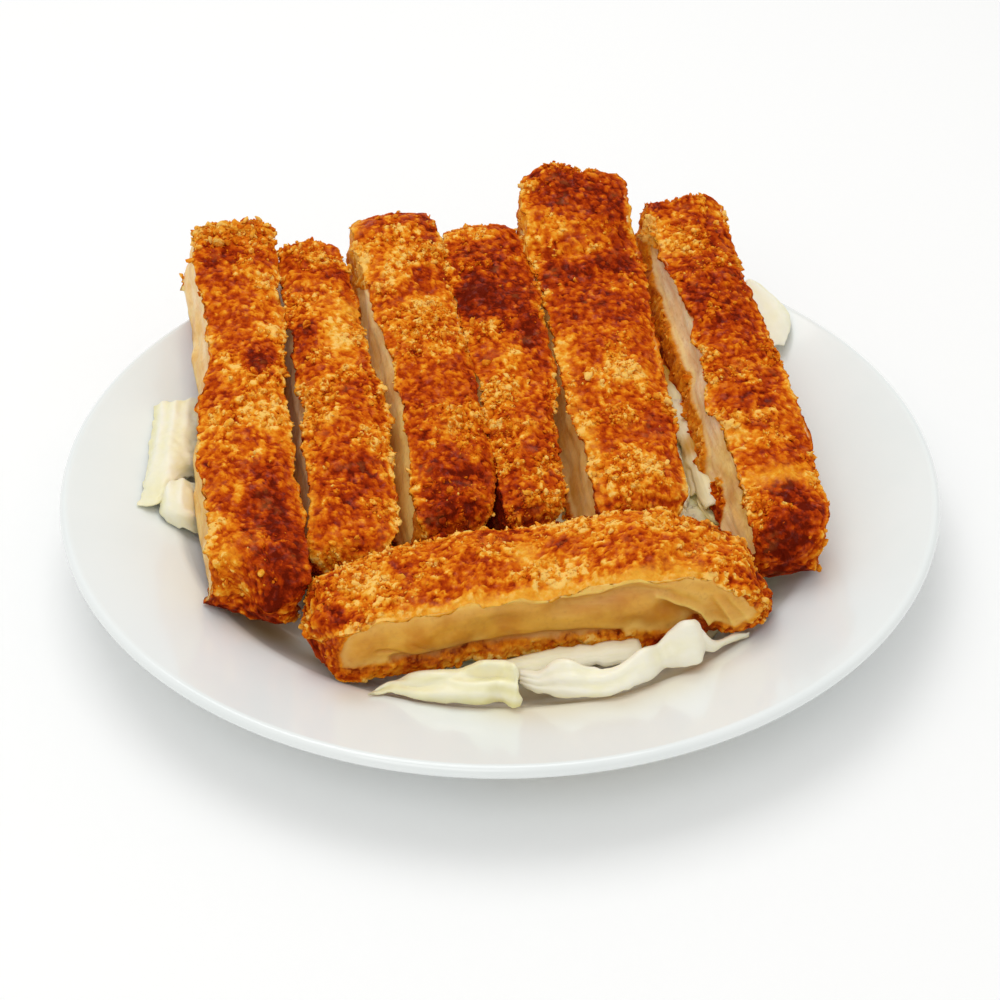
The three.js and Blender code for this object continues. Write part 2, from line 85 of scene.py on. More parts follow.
def smoothstep(t: Number) -> Array:
    """Smooth rise from 0 to 1 while t goes from 0 to 1."""
    t = np.clip(t, 0.0, 1.0)
    return t * t * (3.0 - 2.0 * t)


def cell_hash(cells: Indices, seed: int) -> Words:
    """A whole-number hash of lattice cells.

    Args:
        cells: Whole coordinates, shape (..., 3).
        seed: Picks one of many patterns.

    Returns:
        One 32-bit number for each cell.
    """
    h = np.uint32(seed * SEED_FACTOR & WORD)
    for axis, factor in enumerate(AXIS_FACTORS):
        h = h ^ cells[..., axis].astype(np.uint32) * np.uint32(factor)
    h = (h ^ (h >> np.uint32(13))) * np.uint32(MIX_FACTOR)
    return h ^ (h >> np.uint32(16))


def noise(points: Array, seed: int) -> Array:
    """Smooth value noise from -1 to 1.

    Args:
        points: Places in units of the noise's pitch, shape (..., 3).
        seed: Picks one of many patterns.

    Returns:
        One value for each place.
    """
    base = np.floor(points).astype(np.int64)
    u, v, w = (smoothstep(points[..., axis] - base[..., axis]) for axis in range(3))

    def corner(a: int, b: int, c: int) -> Array:
        """Value at one corner of the cell."""
        return cell_hash(base + np.array([a, b, c]), seed) / (WORD / 2) - 1.0

    def edge(b: int, c: int) -> Array:
        """Value on one edge along the first axis."""
        return lerp(corner(0, b, c), corner(1, b, c), u)

    return lerp(lerp(edge(0, 0), edge(1, 0), v), lerp(edge(0, 1), edge(1, 1), v), w)


def spline_at(values: Array, t: Array) -> Array:
    """Catmull-Rom values of a list of rows.

    Args:
        values: Rows to pass through, shape (n, k).
        t: Places from 0 to 1 over the whole list, shape (m,).

    Returns:
        Rows at those places, shape (m, k).
    """
    last = len(values) - 1
    s = np.clip(t, 0.0, 1.0) * last
    i = np.minimum(last - 1, np.floor(s).astype(int))
    u = (s - i)[:, None]
    a, b, c, d = (values[np.clip(i + step, 0, last)] for step in (-1, 0, 1, 2))
    return b + 0.5 * u * (c - a + u * (2 * a - 5 * b + 4 * c - d + u * (3 * (b - c) + d - a)))


def unit(vectors: Array) -> Array:
    """Vectors scaled to length 1."""
    return vectors / np.maximum(np.linalg.norm(vectors, axis=-1, keepdims=True), 1e-9)


@dataclass(frozen=True)
class GrainField:
    """Rounded grains scattered evenly through space, which a crust's surface cuts through."""

    pitch: float
    seed: int
    share: float = 1.0  # share of the places that hold a grain
    warp: float = 0.3  # how far noise pushes the grains' outlines, in pitches
    warp_scale: float = 2.6
    start: float = 0.15  # where in its cell a grain's middle may lie: least, and how much farther
    room: float = 0.7
    girth: Pair = (0.4, 0.45)  # half its size: least, and how much more
    flat_from: float = 0.8  # a dome is cut flat at this share of its height
    lowest: float = 0.4  # height of the lowest grain

    @staticmethod
    def byte_shares(words: Words) -> Array:
        """The four bytes of each hash, as numbers from 0 to 1."""
        return np.stack([((words >> np.uint32(8 * n)) & np.uint32(255)) / 255.0 for n in range(4)], -1)

    def sample(self, points: Array) -> tuple[Array, Array]:
        """How far the grains stand out at some places.

        Args:
            points: Places in millimetres, shape (n, 3).

        Returns:
            Height from 0 to 1 and the winning grain's own tone from 0 to 1.
        """
        scaled = points / self.pitch
        pushes = [noise(scaled * self.warp_scale, self.seed + step) for step in (1, 2, 3)]
        scaled = scaled + self.warp * np.stack(pushes, -1)
        cell = np.floor(scaled).astype(np.int64)
        height = np.zeros(len(points))
        tone = np.full(len(points), 0.5)
        offsets = np.stack(np.meshgrid([-1, 0, 1], [-1, 0, 1], [-1, 0, 1], indexing="ij"), -1)
        for offset in offsets.reshape(-1, 3):
            there = cell + offset
            place, shape = (self.byte_shares(cell_hash(there, self.seed + step)) for step in (0, 7))
            away = scaled - there - self.start - self.room * place[:, :3]
            away = away / (self.girth[0] + self.girth[1] * shape[:, :3])
            reach = 1.0 - np.sum(np.abs(away) ** 3, -1)
            dome = np.sqrt(np.clip(reach, 0.0, self.flat_from) / self.flat_from)
            dome = dome * lerp(self.lowest, 1.0, place[:, 3]) * (shape[:, 3] <= self.share)
            wins = dome > height
            height = np.where(wins, dome, height)
            tone = np.where(wins, (place[:, 0] + shape[:, 1]) % 1.0, tone)
        return height, tone


# ---- meshes ----


@dataclass
class Shell:
    """Points, faces and named values of a piece, before it becomes a Blender mesh."""

    points: Array
    quads: Indices = field(default_factory=lambda: np.zeros((0, 4), np.int64))
    triangles: Indices = field(default_factory=lambda: np.zeros((0, 3), np.int64))
    values: Layers = field(default_factory=dict)

    def corner_triangles(self) -> Indices:
        """All faces as triangles."""
        return np.concatenate([self.quads[:, [0, 1, 2]], self.quads[:, [0, 2, 3]], self.triangles])

    def faced_out(self) -> "Shell":
        """The same closed shell with its faces turned outwards."""
        a, b, c = (self.points[self.corner_triangles()[:, n]] for n in range(3))
        if np.einsum("ij,ij->", a, np.cross(b, c)) < 0:
            self.quads, self.triangles = self.quads[:, ::-1], self.triangles[:, ::-1]
        return self

    def point_normals(self) -> Array:
        """Outward unit normals at the points."""
        normals = np.zeros_like(self.points)
        corners = self.corner_triangles()
        a, b, c = (self.points[corners[:, n]] for n in range(3))
        face = np.cross(b - a, c - a)
        for n in range(3):
            np.add.at(normals, corners[:, n], face)
        return unit(normals)

    def to_object(self, name: str, finish: Material) -> Piece:
        """Makes the Blender object.

        Args:
            name: Name of the object and its mesh.
            finish: Its material.

        Returns:
            The object, linked to the scene, with smooth shading.
        """
        mesh = bpy.data.meshes.new(name)
        mesh.vertices.add(len(self.points))
        mesh.vertices.foreach_set("co", (self.points * MM).astype(np.float32).ravel())
        sizes = np.concatenate([np.full(len(self.quads), 4), np.full(len(self.triangles), 3)])
        mesh.loops.add(int(sizes.sum()))
        loops = np.concatenate([self.quads.ravel(), self.triangles.ravel()]).astype(np.int32)
        mesh.loops.foreach_set("vertex_index", loops)
        mesh.polygons.add(len(sizes))
        starts = np.concatenate([[0], np.cumsum(sizes)[:-1]]).astype(np.int32)
        mesh.polygons.foreach_set("loop_start", starts)
        mesh.polygons.foreach_set("use_smooth", np.ones(len(sizes), bool))
        for key, value in self.values.items():
            kind, slot = ("FLOAT", "value") if value.ndim == 1 else ("FLOAT_VECTOR", "vector")
            layer = mesh.attributes.new(key, kind, "POINT")
            layer.data.foreach_set(slot, value.astype(np.float32).ravel())
        mesh.update(calc_edges=True)
        mesh.validate()
        piece = bpy.data.objects.new(name, mesh)
        mesh.materials.append(finish)
        bpy.context.scene.collection.objects.link(piece)
        return piece


def joined(shells: list[Shell]) -> Shell:
    """Several shells as one.

    Args:
        shells: The shells.

    Returns:
        One shell, with the values that all of them have.
    """
    starts = np.cumsum([0] + [len(shell.points) for shell in shells])
    keys = set.intersection(*(set(shell.values) for shell in shells))
    return Shell(
        points=np.concatenate([shell.points for shell in shells]),
        quads=np.concatenate([shell.quads + start for shell, start in zip(shells, starts)]),
        triangles=np.concatenate([shell.triangles + start for shell, start in zip(shells, starts)]),
        values={key: np.concatenate([shell.values[key] for shell in shells]) for key in keys},
    )


def tube_quads(rows: int, columns: int) -> Indices:
    """Quads of a tube of rings.

    Args:
        rows: Number of rings.
        columns: Number of points in each.

    Returns:
        Four points for each quad.
    """
    row, column = np.meshgrid(np.arange(rows - 1), np.arange(columns), indexing="ij")
    here, beside = row * columns + column, row * columns + (column + 1) % columns
    return np.stack([here, here + columns, beside + columns, beside], -1).reshape(-1, 4)


def end_fans(rows: int, columns: int) -> Indices:
    """Triangles that close both ends of a tube of rings, whose two tips come after its last ring.

    Args:
        rows: Number of rings.
        columns: Number of points in each.

    Returns:
        Three points for each triangle.
    """
    first = np.arange(columns)
    last = first + (rows - 1) * columns
    fans = [np.stack([np.full(columns, rows * columns + side), row, np.roll(row, -1)], -1)
            for side, row in ((0, first), (1, last[::-1]))]
    return np.concatenate(fans)


def closed_tube(points: Array, values: Layers) -> Shell:
    """A tube of rings closed with a fan at each end.

    Args:
        points: Its rings of points, shape (rows, columns, 3).
        values: Named values of the same points.

    Returns:
        The shell, facing out.
    """
    rows, columns = points.shape[:2]
    flat = {key: np.concatenate([value.reshape(rows * columns, *value.shape[2:]), value[[0, -1]].mean(1)])
            for key, value in {"place": points, **values}.items()}
    return Shell(flat.pop("place"), tube_quads(rows, columns), end_fans(rows, columns), flat).faced_out()


def grid(low: float, high: float, rows: int, columns: int) -> list[Array]:
    """Two numbers over a grid, from low to high along its first side and along its second."""
    return np.meshgrid(np.linspace(low, high, rows), np.linspace(low, high, columns), indexing="ij")


def sheet_normals(middle: Array) -> Array:
    """Unit normals of a grid of points."""
    return unit(np.cross(np.gradient(middle, axis=0), np.gradient(middle, axis=1)))


def sheet_shell(middle: Array, thickness: Array) -> Shell:
    """A closed thin sheet about a middle surface.

    Args:
        middle: Grid of points, shape (rows, columns, 3).
        thickness: Thickness at each grid point, shape (rows, columns).

    Returns:
        The closed shell, its upper points first.
    """
    rows, columns = middle.shape[:2]
    half = sheet_normals(middle) * thickness[..., None] / 2
    count = rows * columns
    n = np.arange(count).reshape(rows, columns)
    upper = np.stack([n[:-1, :-1], n[1:, :-1], n[1:, 1:], n[:-1, 1:]], -1).reshape(-1, 4)
    edge = np.concatenate([n[0, :-1], n[:-1, -1], n[-1, :0:-1], n[:0:-1, 0]])
    after = np.roll(edge, -1)
    wall = np.stack([edge, after, after + count, edge + count], -1)
    points = np.concatenate([(middle + half).reshape(-1, 3), (middle - half).reshape(-1, 3)])
    return Shell(points, np.concatenate([upper, upper[:, ::-1] + count, wall]))


# ---- finishes ----


class Finish(Enum):
    """The finishes of the dish, each with the record's material slot."""

    GLAZE = "plate_glaze"
    CRUST = "fried_crust"
    CABBAGE = "cabbage"
    LEAF = "cabbage_leaf"


def paint(tint: Tint) -> tuple[float, float, float, float]:
    """A colour as it looks on a screen, turned into the shader's own linear colour."""
    shares = [part / 255 for part in tint]
    return (*(s / 12.92 if s <= 0.04045 else ((s + 0.055) / 1.055) ** 2.4 for s in shares), 1.0)


class Value:
    """A number in a shader: an output socket, with Python's operators."""

    def __init__(self, graph: "Graph", socket: Socket) -> None:
        """Wraps an output socket of a graph."""
        self.graph = graph
        self.socket = socket

    def _math(self, operation: str, *operands: "Value | float") -> "Value":
        """The result of a Math node."""
        node = self.graph.node("ShaderNodeMath", {"operation": operation}, dict(enumerate(operands)))
        return Value(self.graph, node.outputs[0])

    def __add__(self, other: "Value | float") -> "Value":
        """self + other."""
        return self._math("ADD", self, other)

    def __radd__(self, other: float) -> "Value":
        """other + self."""
        return self._math("ADD", other, self)

    def __sub__(self, other: "Value | float") -> "Value":
        """self - other."""
        return self._math("SUBTRACT", self, other)

    def __rsub__(self, other: float) -> "Value":
        """other - self."""
        return self._math("SUBTRACT", other, self)

    def __mul__(self, other: "Value | float") -> "Value":
        """self * other."""
        return self._math("MULTIPLY", self, other)

    def __rmul__(self, other: float) -> "Value":
        """other * self."""
        return self._math("MULTIPLY", other, self)

    def over(self, low: float, high: float) -> "Value":
        """A smooth rise from 0 to 1.

        Args:
            low: Where this value's rise starts.
            high: Where it ends.

        Returns:
            The risen value.
        """
        sockets = {"Value": self, "From Min": low, "From Max": high}
        node = self.graph.node("ShaderNodeMapRange", {"interpolation_type": "SMOOTHSTEP"}, sockets)
        return Value(self.graph, node.outputs[0])

    def clipped(self) -> "Value":
        """This value kept from 0 to 1."""
        node = self.graph.node("ShaderNodeClamp", {}, {"Value": self})
        return Value(self.graph, node.outputs[0])


class Graph:
    """The node tree of one finish."""

    def __init__(self, name: str) -> None:
        """Starts a new material with an empty tree.

        Args:
            name: The material's name.
        """
        self.material = bpy.data.materials.new(name)
        self.material.use_nodes = True
        self.tree = self.material.node_tree
        self.tree.nodes.clear()

    def node(self, kind: str, settings: Settings | None = None, sockets: Sockets | None = None) -> Node:
        """Adds any node.

        Args:
            kind: Blender's type name of the node.
            settings: Properties of the node, set first; "stops" fills a colour ramp.
            sockets: Layers or links of its inputs, by name or number.

        Returns:
            The new node.
        """
        node = self.tree.nodes.new(kind)
        for key, value in (settings or {}).items():
            if key == "stops":
                self._fill_ramp(node.color_ramp, value)
            else:
                setattr(node, key, value)
        for key, value in (sockets or {}).items():
            if isinstance(value, Value):
                self.tree.links.new(value.socket, node.inputs[key])
            elif isinstance(value, Socket):
                self.tree.links.new(value, node.inputs[key])
            else:
                node.inputs[key].default_value = value
        return node

    @staticmethod
    def _fill_ramp(ramp: bpy.types.ColorRamp, stops: tuple[tuple[float, Tint], ...]) -> None:
        """Gives a colour ramp its stops.

        Args:
            ramp: The ramp.
            stops: Place from 0 to 1 and tint of each stop.
        """
        while len(ramp.elements) < len(stops):
            ramp.elements.new(0.5)
        for element, (place, tint) in zip(ramp.elements, stops):
            element.position = place
            element.color = paint(tint)

    def value_of(self, name: str) -> Value:
        """A named number of the mesh."""
        return Value(self, self.node("ShaderNodeAttribute", {"attribute_name": name}).outputs["Fac"])

    def vector_of(self, name: str) -> Socket:
        """A named vector of the mesh."""
        return self.node("ShaderNodeAttribute", {"attribute_name": name}).outputs["Vector"]

    def place(self) -> Socket:
        """The place on the object, in metres."""
        return self.node("ShaderNodeTexCoord").outputs["Object"]

    def speckle(self, where: Socket, size: float, detail: float = 2.0) -> Value:
        """Noise from 0 to 1.

        Args:
            where: Coordinates that the noise follows.
            size: Size of its spots, in the coordinates' own unit.
            detail: How many finer layers it has.

        Returns:
            The noise.
        """
        sockets = {"Vector": where, "Scale": 1.0 / size, "Detail": detail, "Roughness": 0.55}
        return Value(self, self.node("ShaderNodeTexNoise", {}, sockets).outputs["Fac"])

    def nudged(self, where: Socket, size: float, distance: float) -> Socket:
        """Coordinates pushed about by noise.

        Args:
            where: The coordinates.
            size: Size of the noise's spots.
            distance: How far it pushes at most.

        Returns:
            The new coordinates.
        """
        sockets = {"Vector": where, "Scale": 1.0 / size, "Detail": 1.0}
        cloud = self.node("ShaderNodeTexNoise", {}, sockets).outputs["Color"]
        centred = self.node("ShaderNodeVectorMath", {"operation": "SUBTRACT"}, {0: cloud, 1: (0.5, 0.5, 0.5)})
        sockets = {0: centred.outputs[0], 1: (2 * distance,) * 3, 2: where}
        return self.node("ShaderNodeVectorMath", {"operation": "MULTIPLY_ADD"}, sockets).outputs[0]

    def cells(self, where: Socket, size: float) -> tuple[Value, Value]:
        """Scattered cells.

        Args:
            where: Coordinates that they follow.
            size: Their size, in the coordinates' own unit.

        Returns:
            The distance from each one's middle, and its own number from 0 to 1.
        """
        node = self.node("ShaderNodeTexVoronoi", {}, {"Vector": where, "Scale": 1.0 / size})
        split = self.node("ShaderNodeSeparateColor", {}, {"Color": node.outputs["Color"]})
        return Value(self, node.outputs["Distance"]), Value(self, split.outputs[0])

    def ramp(self, factor: Value, stops: tuple[tuple[float, Tint], ...]) -> Socket:
        """A colour that follows a number through stops."""
        return self.node("ShaderNodeValToRGB", {"stops": stops}, {"Fac": factor}).outputs["Color"]

    def mixed(self, factor: Value | float, first: object, second: object, way: str = "MIX") -> Socket:
        """Mixes two colours.

        Args:
            factor: Share of the second one, from 0 to 1.
            first: A colour's link, or its tint.
            second: The colour over it.
            way: How the second one is laid over the first.

        Returns:
            The mixed colour.
        """
        colours = (paint(colour) if isinstance(colour, tuple) else colour for colour in (first, second))
        sockets = dict(zip((0, 6, 7), (factor, *colours)))
        return self.node("ShaderNodeMix", {"data_type": "RGBA", "blend_type": way}, sockets).outputs[2]

    def bumped(self, height: Value, distance: float, strength: float = 1.0) -> Socket:
        """A normal pushed about by a height from 0 to 1 that stands for a distance in metres."""
        sockets = {"Height": height, "Distance": distance, "Strength": strength}
        return self.node("ShaderNodeBump", {}, sockets).outputs["Normal"]

    def surface(self, sockets: Sockets) -> Material:
        """Ends the tree in a Principled surface.

        Args:
            sockets: The surface's inputs.

        Returns:
            The finished material.
        """
        shader = self.node("ShaderNodeBsdfPrincipled", {}, sockets)
        self.node("ShaderNodeOutputMaterial", {}, {"Surface": shader.outputs["BSDF"]})
        return self.material


@dataclass(frozen=True)
class GlazeFinish:
    """White glazed porcelain, with a little frying juice on it, whose tint also paints the shadow under the
    food, and the foot's rubbed rim left bare.
    """

    body: Tint = (238, 242, 241)
    thin: Tint = (235, 240, 239)  # where the glaze lies thinner
    bare: Tint = (222, 219, 210)
    # tint of the juice pools, which also serves as painted shadow where the food shades the plate
    juice: Tint = (216, 188, 112)
    cloud_size: float = 0.03  # metres, as every size of a finish
    pore_size: float = 0.0011
    pore_depth: float = 0.00002

    def make(self) -> Material:
        """Builds the material."""
        g = Graph(Finish.GLAZE.value)
        where = g.place()
        cloud = g.speckle(where, self.cloud_size, 3.0)
        foot = g.value_of("bare_foot")
        colour = g.mixed(foot, g.mixed(cloud.over(0.35, 0.7), self.body, self.thin), self.bare)
        # Juice pools: partly frying juice, partly painted shadow under the front leaves and the slices' near
        # ends.
        colour = g.mixed(g.value_of("juice"), colour, self.juice)
        pores = g.speckle(where, self.pore_size)
        return g.surface({
            "Base Color": colour,
            "Roughness": (0.13 + 0.07 * cloud + 0.5 * foot).clipped(),
            "Normal": g.bumped(pores, self.pore_depth, 0.35),
            "Coat Weight": 0.35,
            "Coat Roughness": 0.06,
            "IOR": 1.5,
        })


@dataclass(frozen=True)
class Crust:
    """Fried breadcrumb: golden where crumbs stand up, red-brown where the batter fried darkest, and darker in
    the gaps between crumbs as painted shade.
    """

    toast: tuple[tuple[float, Tint], ...] = (  # from the palest crumb to the darkest batter
        (0.0, (250, 200, 104)), (0.16, (242, 168, 50)), (0.34, (230, 132, 20)), (0.52, (208, 95, 8)),
        (0.68, (180, 63, 4)), (0.84, (148, 40, 3)), (1.0, (104, 22, 2)),
    )
    tan_patch: Tint = (214, 130, 66)
    batter: tuple[Tint, Tint] = ((226, 148, 26), (238, 176, 64))
    crumb_size: float = 0.0021
    crumb_warp: float = 0.0009  # size of the noise that bends the crumbs' outlines, and how far
    crumb_shift: float = 0.001
    grit_size: float = 0.0009
    zone_size: float = 0.0046
    swirl_size: float = 0.0019
    tan_patch_size: float = 0.007
    oil_size: float = 0.0022
    relief: float = 0.0008

    def sockets(self, g: Graph) -> Sockets:
        """Inputs of the crust's surface.

        Args:
            g: The graph that they belong to.

        Returns:
            Layers and links by name.
        """
        where = g.place()
        browning, crumb, tone = (g.value_of(name) for name in ("browning", "crumb", "tone"))
        batter, cluster = g.value_of("batter"), g.value_of("cluster")
        zone, swirl = g.speckle(where, self.zone_size), g.speckle(where, self.swirl_size, 3.0)
        grit = g.speckle(where, self.grit_size, 4.0)
        crumb_gap, crumb_tone = g.cells(g.nudged(where, self.crumb_warp, self.crumb_shift), self.crumb_size)
        fleck = crumb_tone.over(0.5, 0.8) * (1 - crumb_gap.over(0.2, 0.5)) * (0.3 + 0.7 * cluster)
        cooked = browning + (zone - 0.5) * 0.5 + (swirl - 0.5) * 0.42 + (grit - 0.5) * 0.4
        cooked = cooked + (tone - 0.5) * 0.2 - crumb * 0.3 - fleck * 0.34
        # Darker towards the rim of each crumb cell, where the bump below sinks: painted shade between crumbs.
        cooked = cooked + (crumb_gap - 0.45) * 0.24 - (cluster - 0.4) * 0.16 + 0.14
        colour = g.ramp(cooked.clipped(), self.toast)
        # Paler tan patches where two noises overlap.
        tan_patches = g.speckle(where, self.tan_patch_size).over(0.54, 0.7) * swirl.over(0.4, 0.6) * 0.2
        colour = g.mixed(tan_patches, colour, self.tan_patch)
        smooth = g.mixed(zone.over(0.35, 0.65), *self.batter)
        bare = (batter * 0.85 - crumb * 0.3).clipped() * (1 - 0.85 * cooked.over(0.6, 0.9))
        colour = g.mixed(bare, colour, smooth)
        oil = g.speckle(where, self.oil_size).over(0.5, 0.66) * (1 - 0.7 * cluster)
        height = (1 - crumb_gap) * 0.45 + grit * 0.5 + swirl * 0.3
        return {
            "Base Color": colour,
            "Roughness": (0.66 - 0.2 * oil).clipped(),
            "Normal": g.bumped(height, self.relief, 0.75),
            "Coat Weight": oil * 0.16,
            "Coat Roughness": 0.2,
            "Specular IOR Level": 0.03,
            "Subsurface Weight": 0.1,
            "Subsurface Radius": (0.9, 0.3, 0.08),
            "Subsurface Scale": 0.0012,
        }


@dataclass(frozen=True)
class CutChicken:
    """The cut face: moist cooked chicken, fibrous along the slice where it is lean, with a faint painted glow
    that lightens the cut faces of slices 2 to 5 where they lie in shade between the slices.
    """

    golden: tuple[Tint, Tint] = ((226, 172, 62), (254, 220, 122))
    pink: tuple[Tint, Tint] = ((244, 204, 160), (255, 236, 206))
    fatty: Tint = (232, 196, 104)  # over meat that isn't lean
    thread: Tint = (208, 158, 102)
    batter: tuple[Tint, Tint] = ((244, 200, 104), (252, 222, 150))  # along fatty meat and lean meat
    moist: Tint = (196, 130, 50)
    stain: Tint = (180, 94, 20)
    blotch_size: float = 0.009
    moist_size: float = 0.0013
    relief: float = 0.0005

    def sockets(self, g: Graph) -> Sockets:
        """Inputs of the cut face's surface.

        Args:
            g: The graph that they belong to.

        Returns:
            Layers and links by name.
        """
        where, grain = g.place(), g.vector_of("grain")
        streak, thread = g.speckle(grain, 1.0, 3.0), g.speckle(grain, 0.33, 2.0)
        blotch, moist = g.speckle(where, self.blotch_size, 3.0), g.speckle(where, self.moist_size, 3.0)
        batter, rosy, stain, lean = (g.value_of(name) for name in ("batter", "rosy", "browning", "lean"))
        golden = g.mixed(blotch.over(0.36, 0.64), *self.golden)
        pink = g.mixed(streak.over(0.34, 0.68), *self.pink)
        colour = g.mixed((rosy + (blotch - 0.5) * 0.7).clipped(), golden, pink)
        lean_meat = lean.over(0.3, 0.5)
        colour = g.mixed(1 - lean_meat, colour, self.fatty, "MULTIPLY")
        colour = g.mixed(thread.over(0.55, 0.75) * lean * 0.5, colour, self.thread)
        colour = g.mixed(batter, colour, g.mixed(lean_meat, *self.batter))
        colour = g.mixed(moist.over(0.5, 0.75) * 0.3, colour, self.moist)
        colour = g.mixed(stain.clipped(), colour, self.stain)
        fibre = (streak * 0.6 + thread * 0.4) * (0.25 + 0.75 * lean) + moist * 0.4
        # Painted light: the cut faces of slices 2 to 5 glow faintly, to lighten them where they lie in shade
        # between the slices.
        painted_gap_glow = lean.over(0.5, 0.65) * (1 - lean.over(0.72, 0.88))
        return {
            "Base Color": colour,
            "Roughness": (0.36 + 0.12 * thread).clipped(),
            "Normal": g.bumped(fibre, self.relief, 0.6),
            "Coat Weight": blotch.over(0.4, 0.65) * 0.3,
            "Coat Roughness": 0.16,
            "Specular IOR Level": 0.3,
            "Emission Color": g.mixed(painted_gap_glow, (0, 0, 0), colour),
            "Emission Strength": 0.05,
            "Subsurface Weight": 0.4,
            "Subsurface Radius": (1.0, 0.6, 0.3),
            "Subsurface Scale": 0.004,
        }


@dataclass(frozen=True)
class SliceFinish:
    """Breaded chicken: crust, and the cut meat where a slice shows it."""

    crust: Crust = Crust()
    meat: CutChicken = CutChicken()
    ragged_size: float = 0.0011  # of the noise that frays the line between them

    def make(self) -> Material:
        """Builds the material."""
        g = Graph(Finish.CRUST.value)
        ragged = g.speckle(g.place(), self.ragged_size)
        flesh = (g.value_of("flesh") + (ragged - 0.5) * 0.5).over(0.18, 0.82)
        crust, meat = (g.node("ShaderNodeBsdfPrincipled", {}, part.sockets(g)).outputs[0]
                       for part in (self.crust, self.meat))
        mix = g.node("ShaderNodeMixShader", {}, {0: flesh, 1: crust, 2: meat})
        g.node("ShaderNodeOutputMaterial", {}, {"Surface": mix.outputs[0]})
        return g.material


@dataclass(frozen=True)
class CabbageFinish:
    """Moist raw cabbage, cream at the ribs and greener where the leaf is thin; on the loose leaves the
    greener vein creases are painted shade.
    """

    name: str
    cream: Tint = (254, 246, 216)
    green: Tint = (240, 234, 168)
    juice: Tint = (206, 156, 28)
    blotch_size: float = 0.009
    vein_depth: float = 0.0004

    def make(self) -> Material:
        """Builds the material."""
        g = Graph(self.name)
        where, grain = g.place(), g.vector_of("grain")
        vein = g.speckle(grain, 1.0)
        blotch = g.speckle(where, self.blotch_size, 3.0)
        leafy, oily = g.value_of("leafy"), g.value_of("oily")
        mask = (leafy + (blotch - 0.5) * 0.7 + (vein - 0.5) * 0.5).clipped()
        colour = g.mixed(oily, g.mixed(mask, self.cream, self.green), self.juice)
        return g.surface({
            "Base Color": colour,
            "Roughness": (0.36 + 0.14 * blotch).clipped(),
            "Normal": g.bumped(vein, self.vein_depth, 0.5),
            "Coat Weight": blotch.over(0.45, 0.6) * 0.3,
            "Coat Roughness": 0.15,
            "Subsurface Weight": 0.35,
            "Subsurface Radius": (1.0, 0.9, 0.5),
            "Subsurface Scale": 0.0025,
        })


@dataclass(frozen=True)
class FloorFinish:
    """The pale tabletop that the plate stands on."""

    tints: tuple[Tint, Tint] = ((251, 252, 252), (253, 253, 253))
    cloud_size: float = 0.4

    def make(self) -> Material:
        """Builds the material."""
        g = Graph("pale_floor")
        cloud = g.speckle(g.place(), self.cloud_size)
        return g.surface({"Base Color": g.mixed(cloud, *self.tints), "Roughness": 0.75})


# ---- plate ----


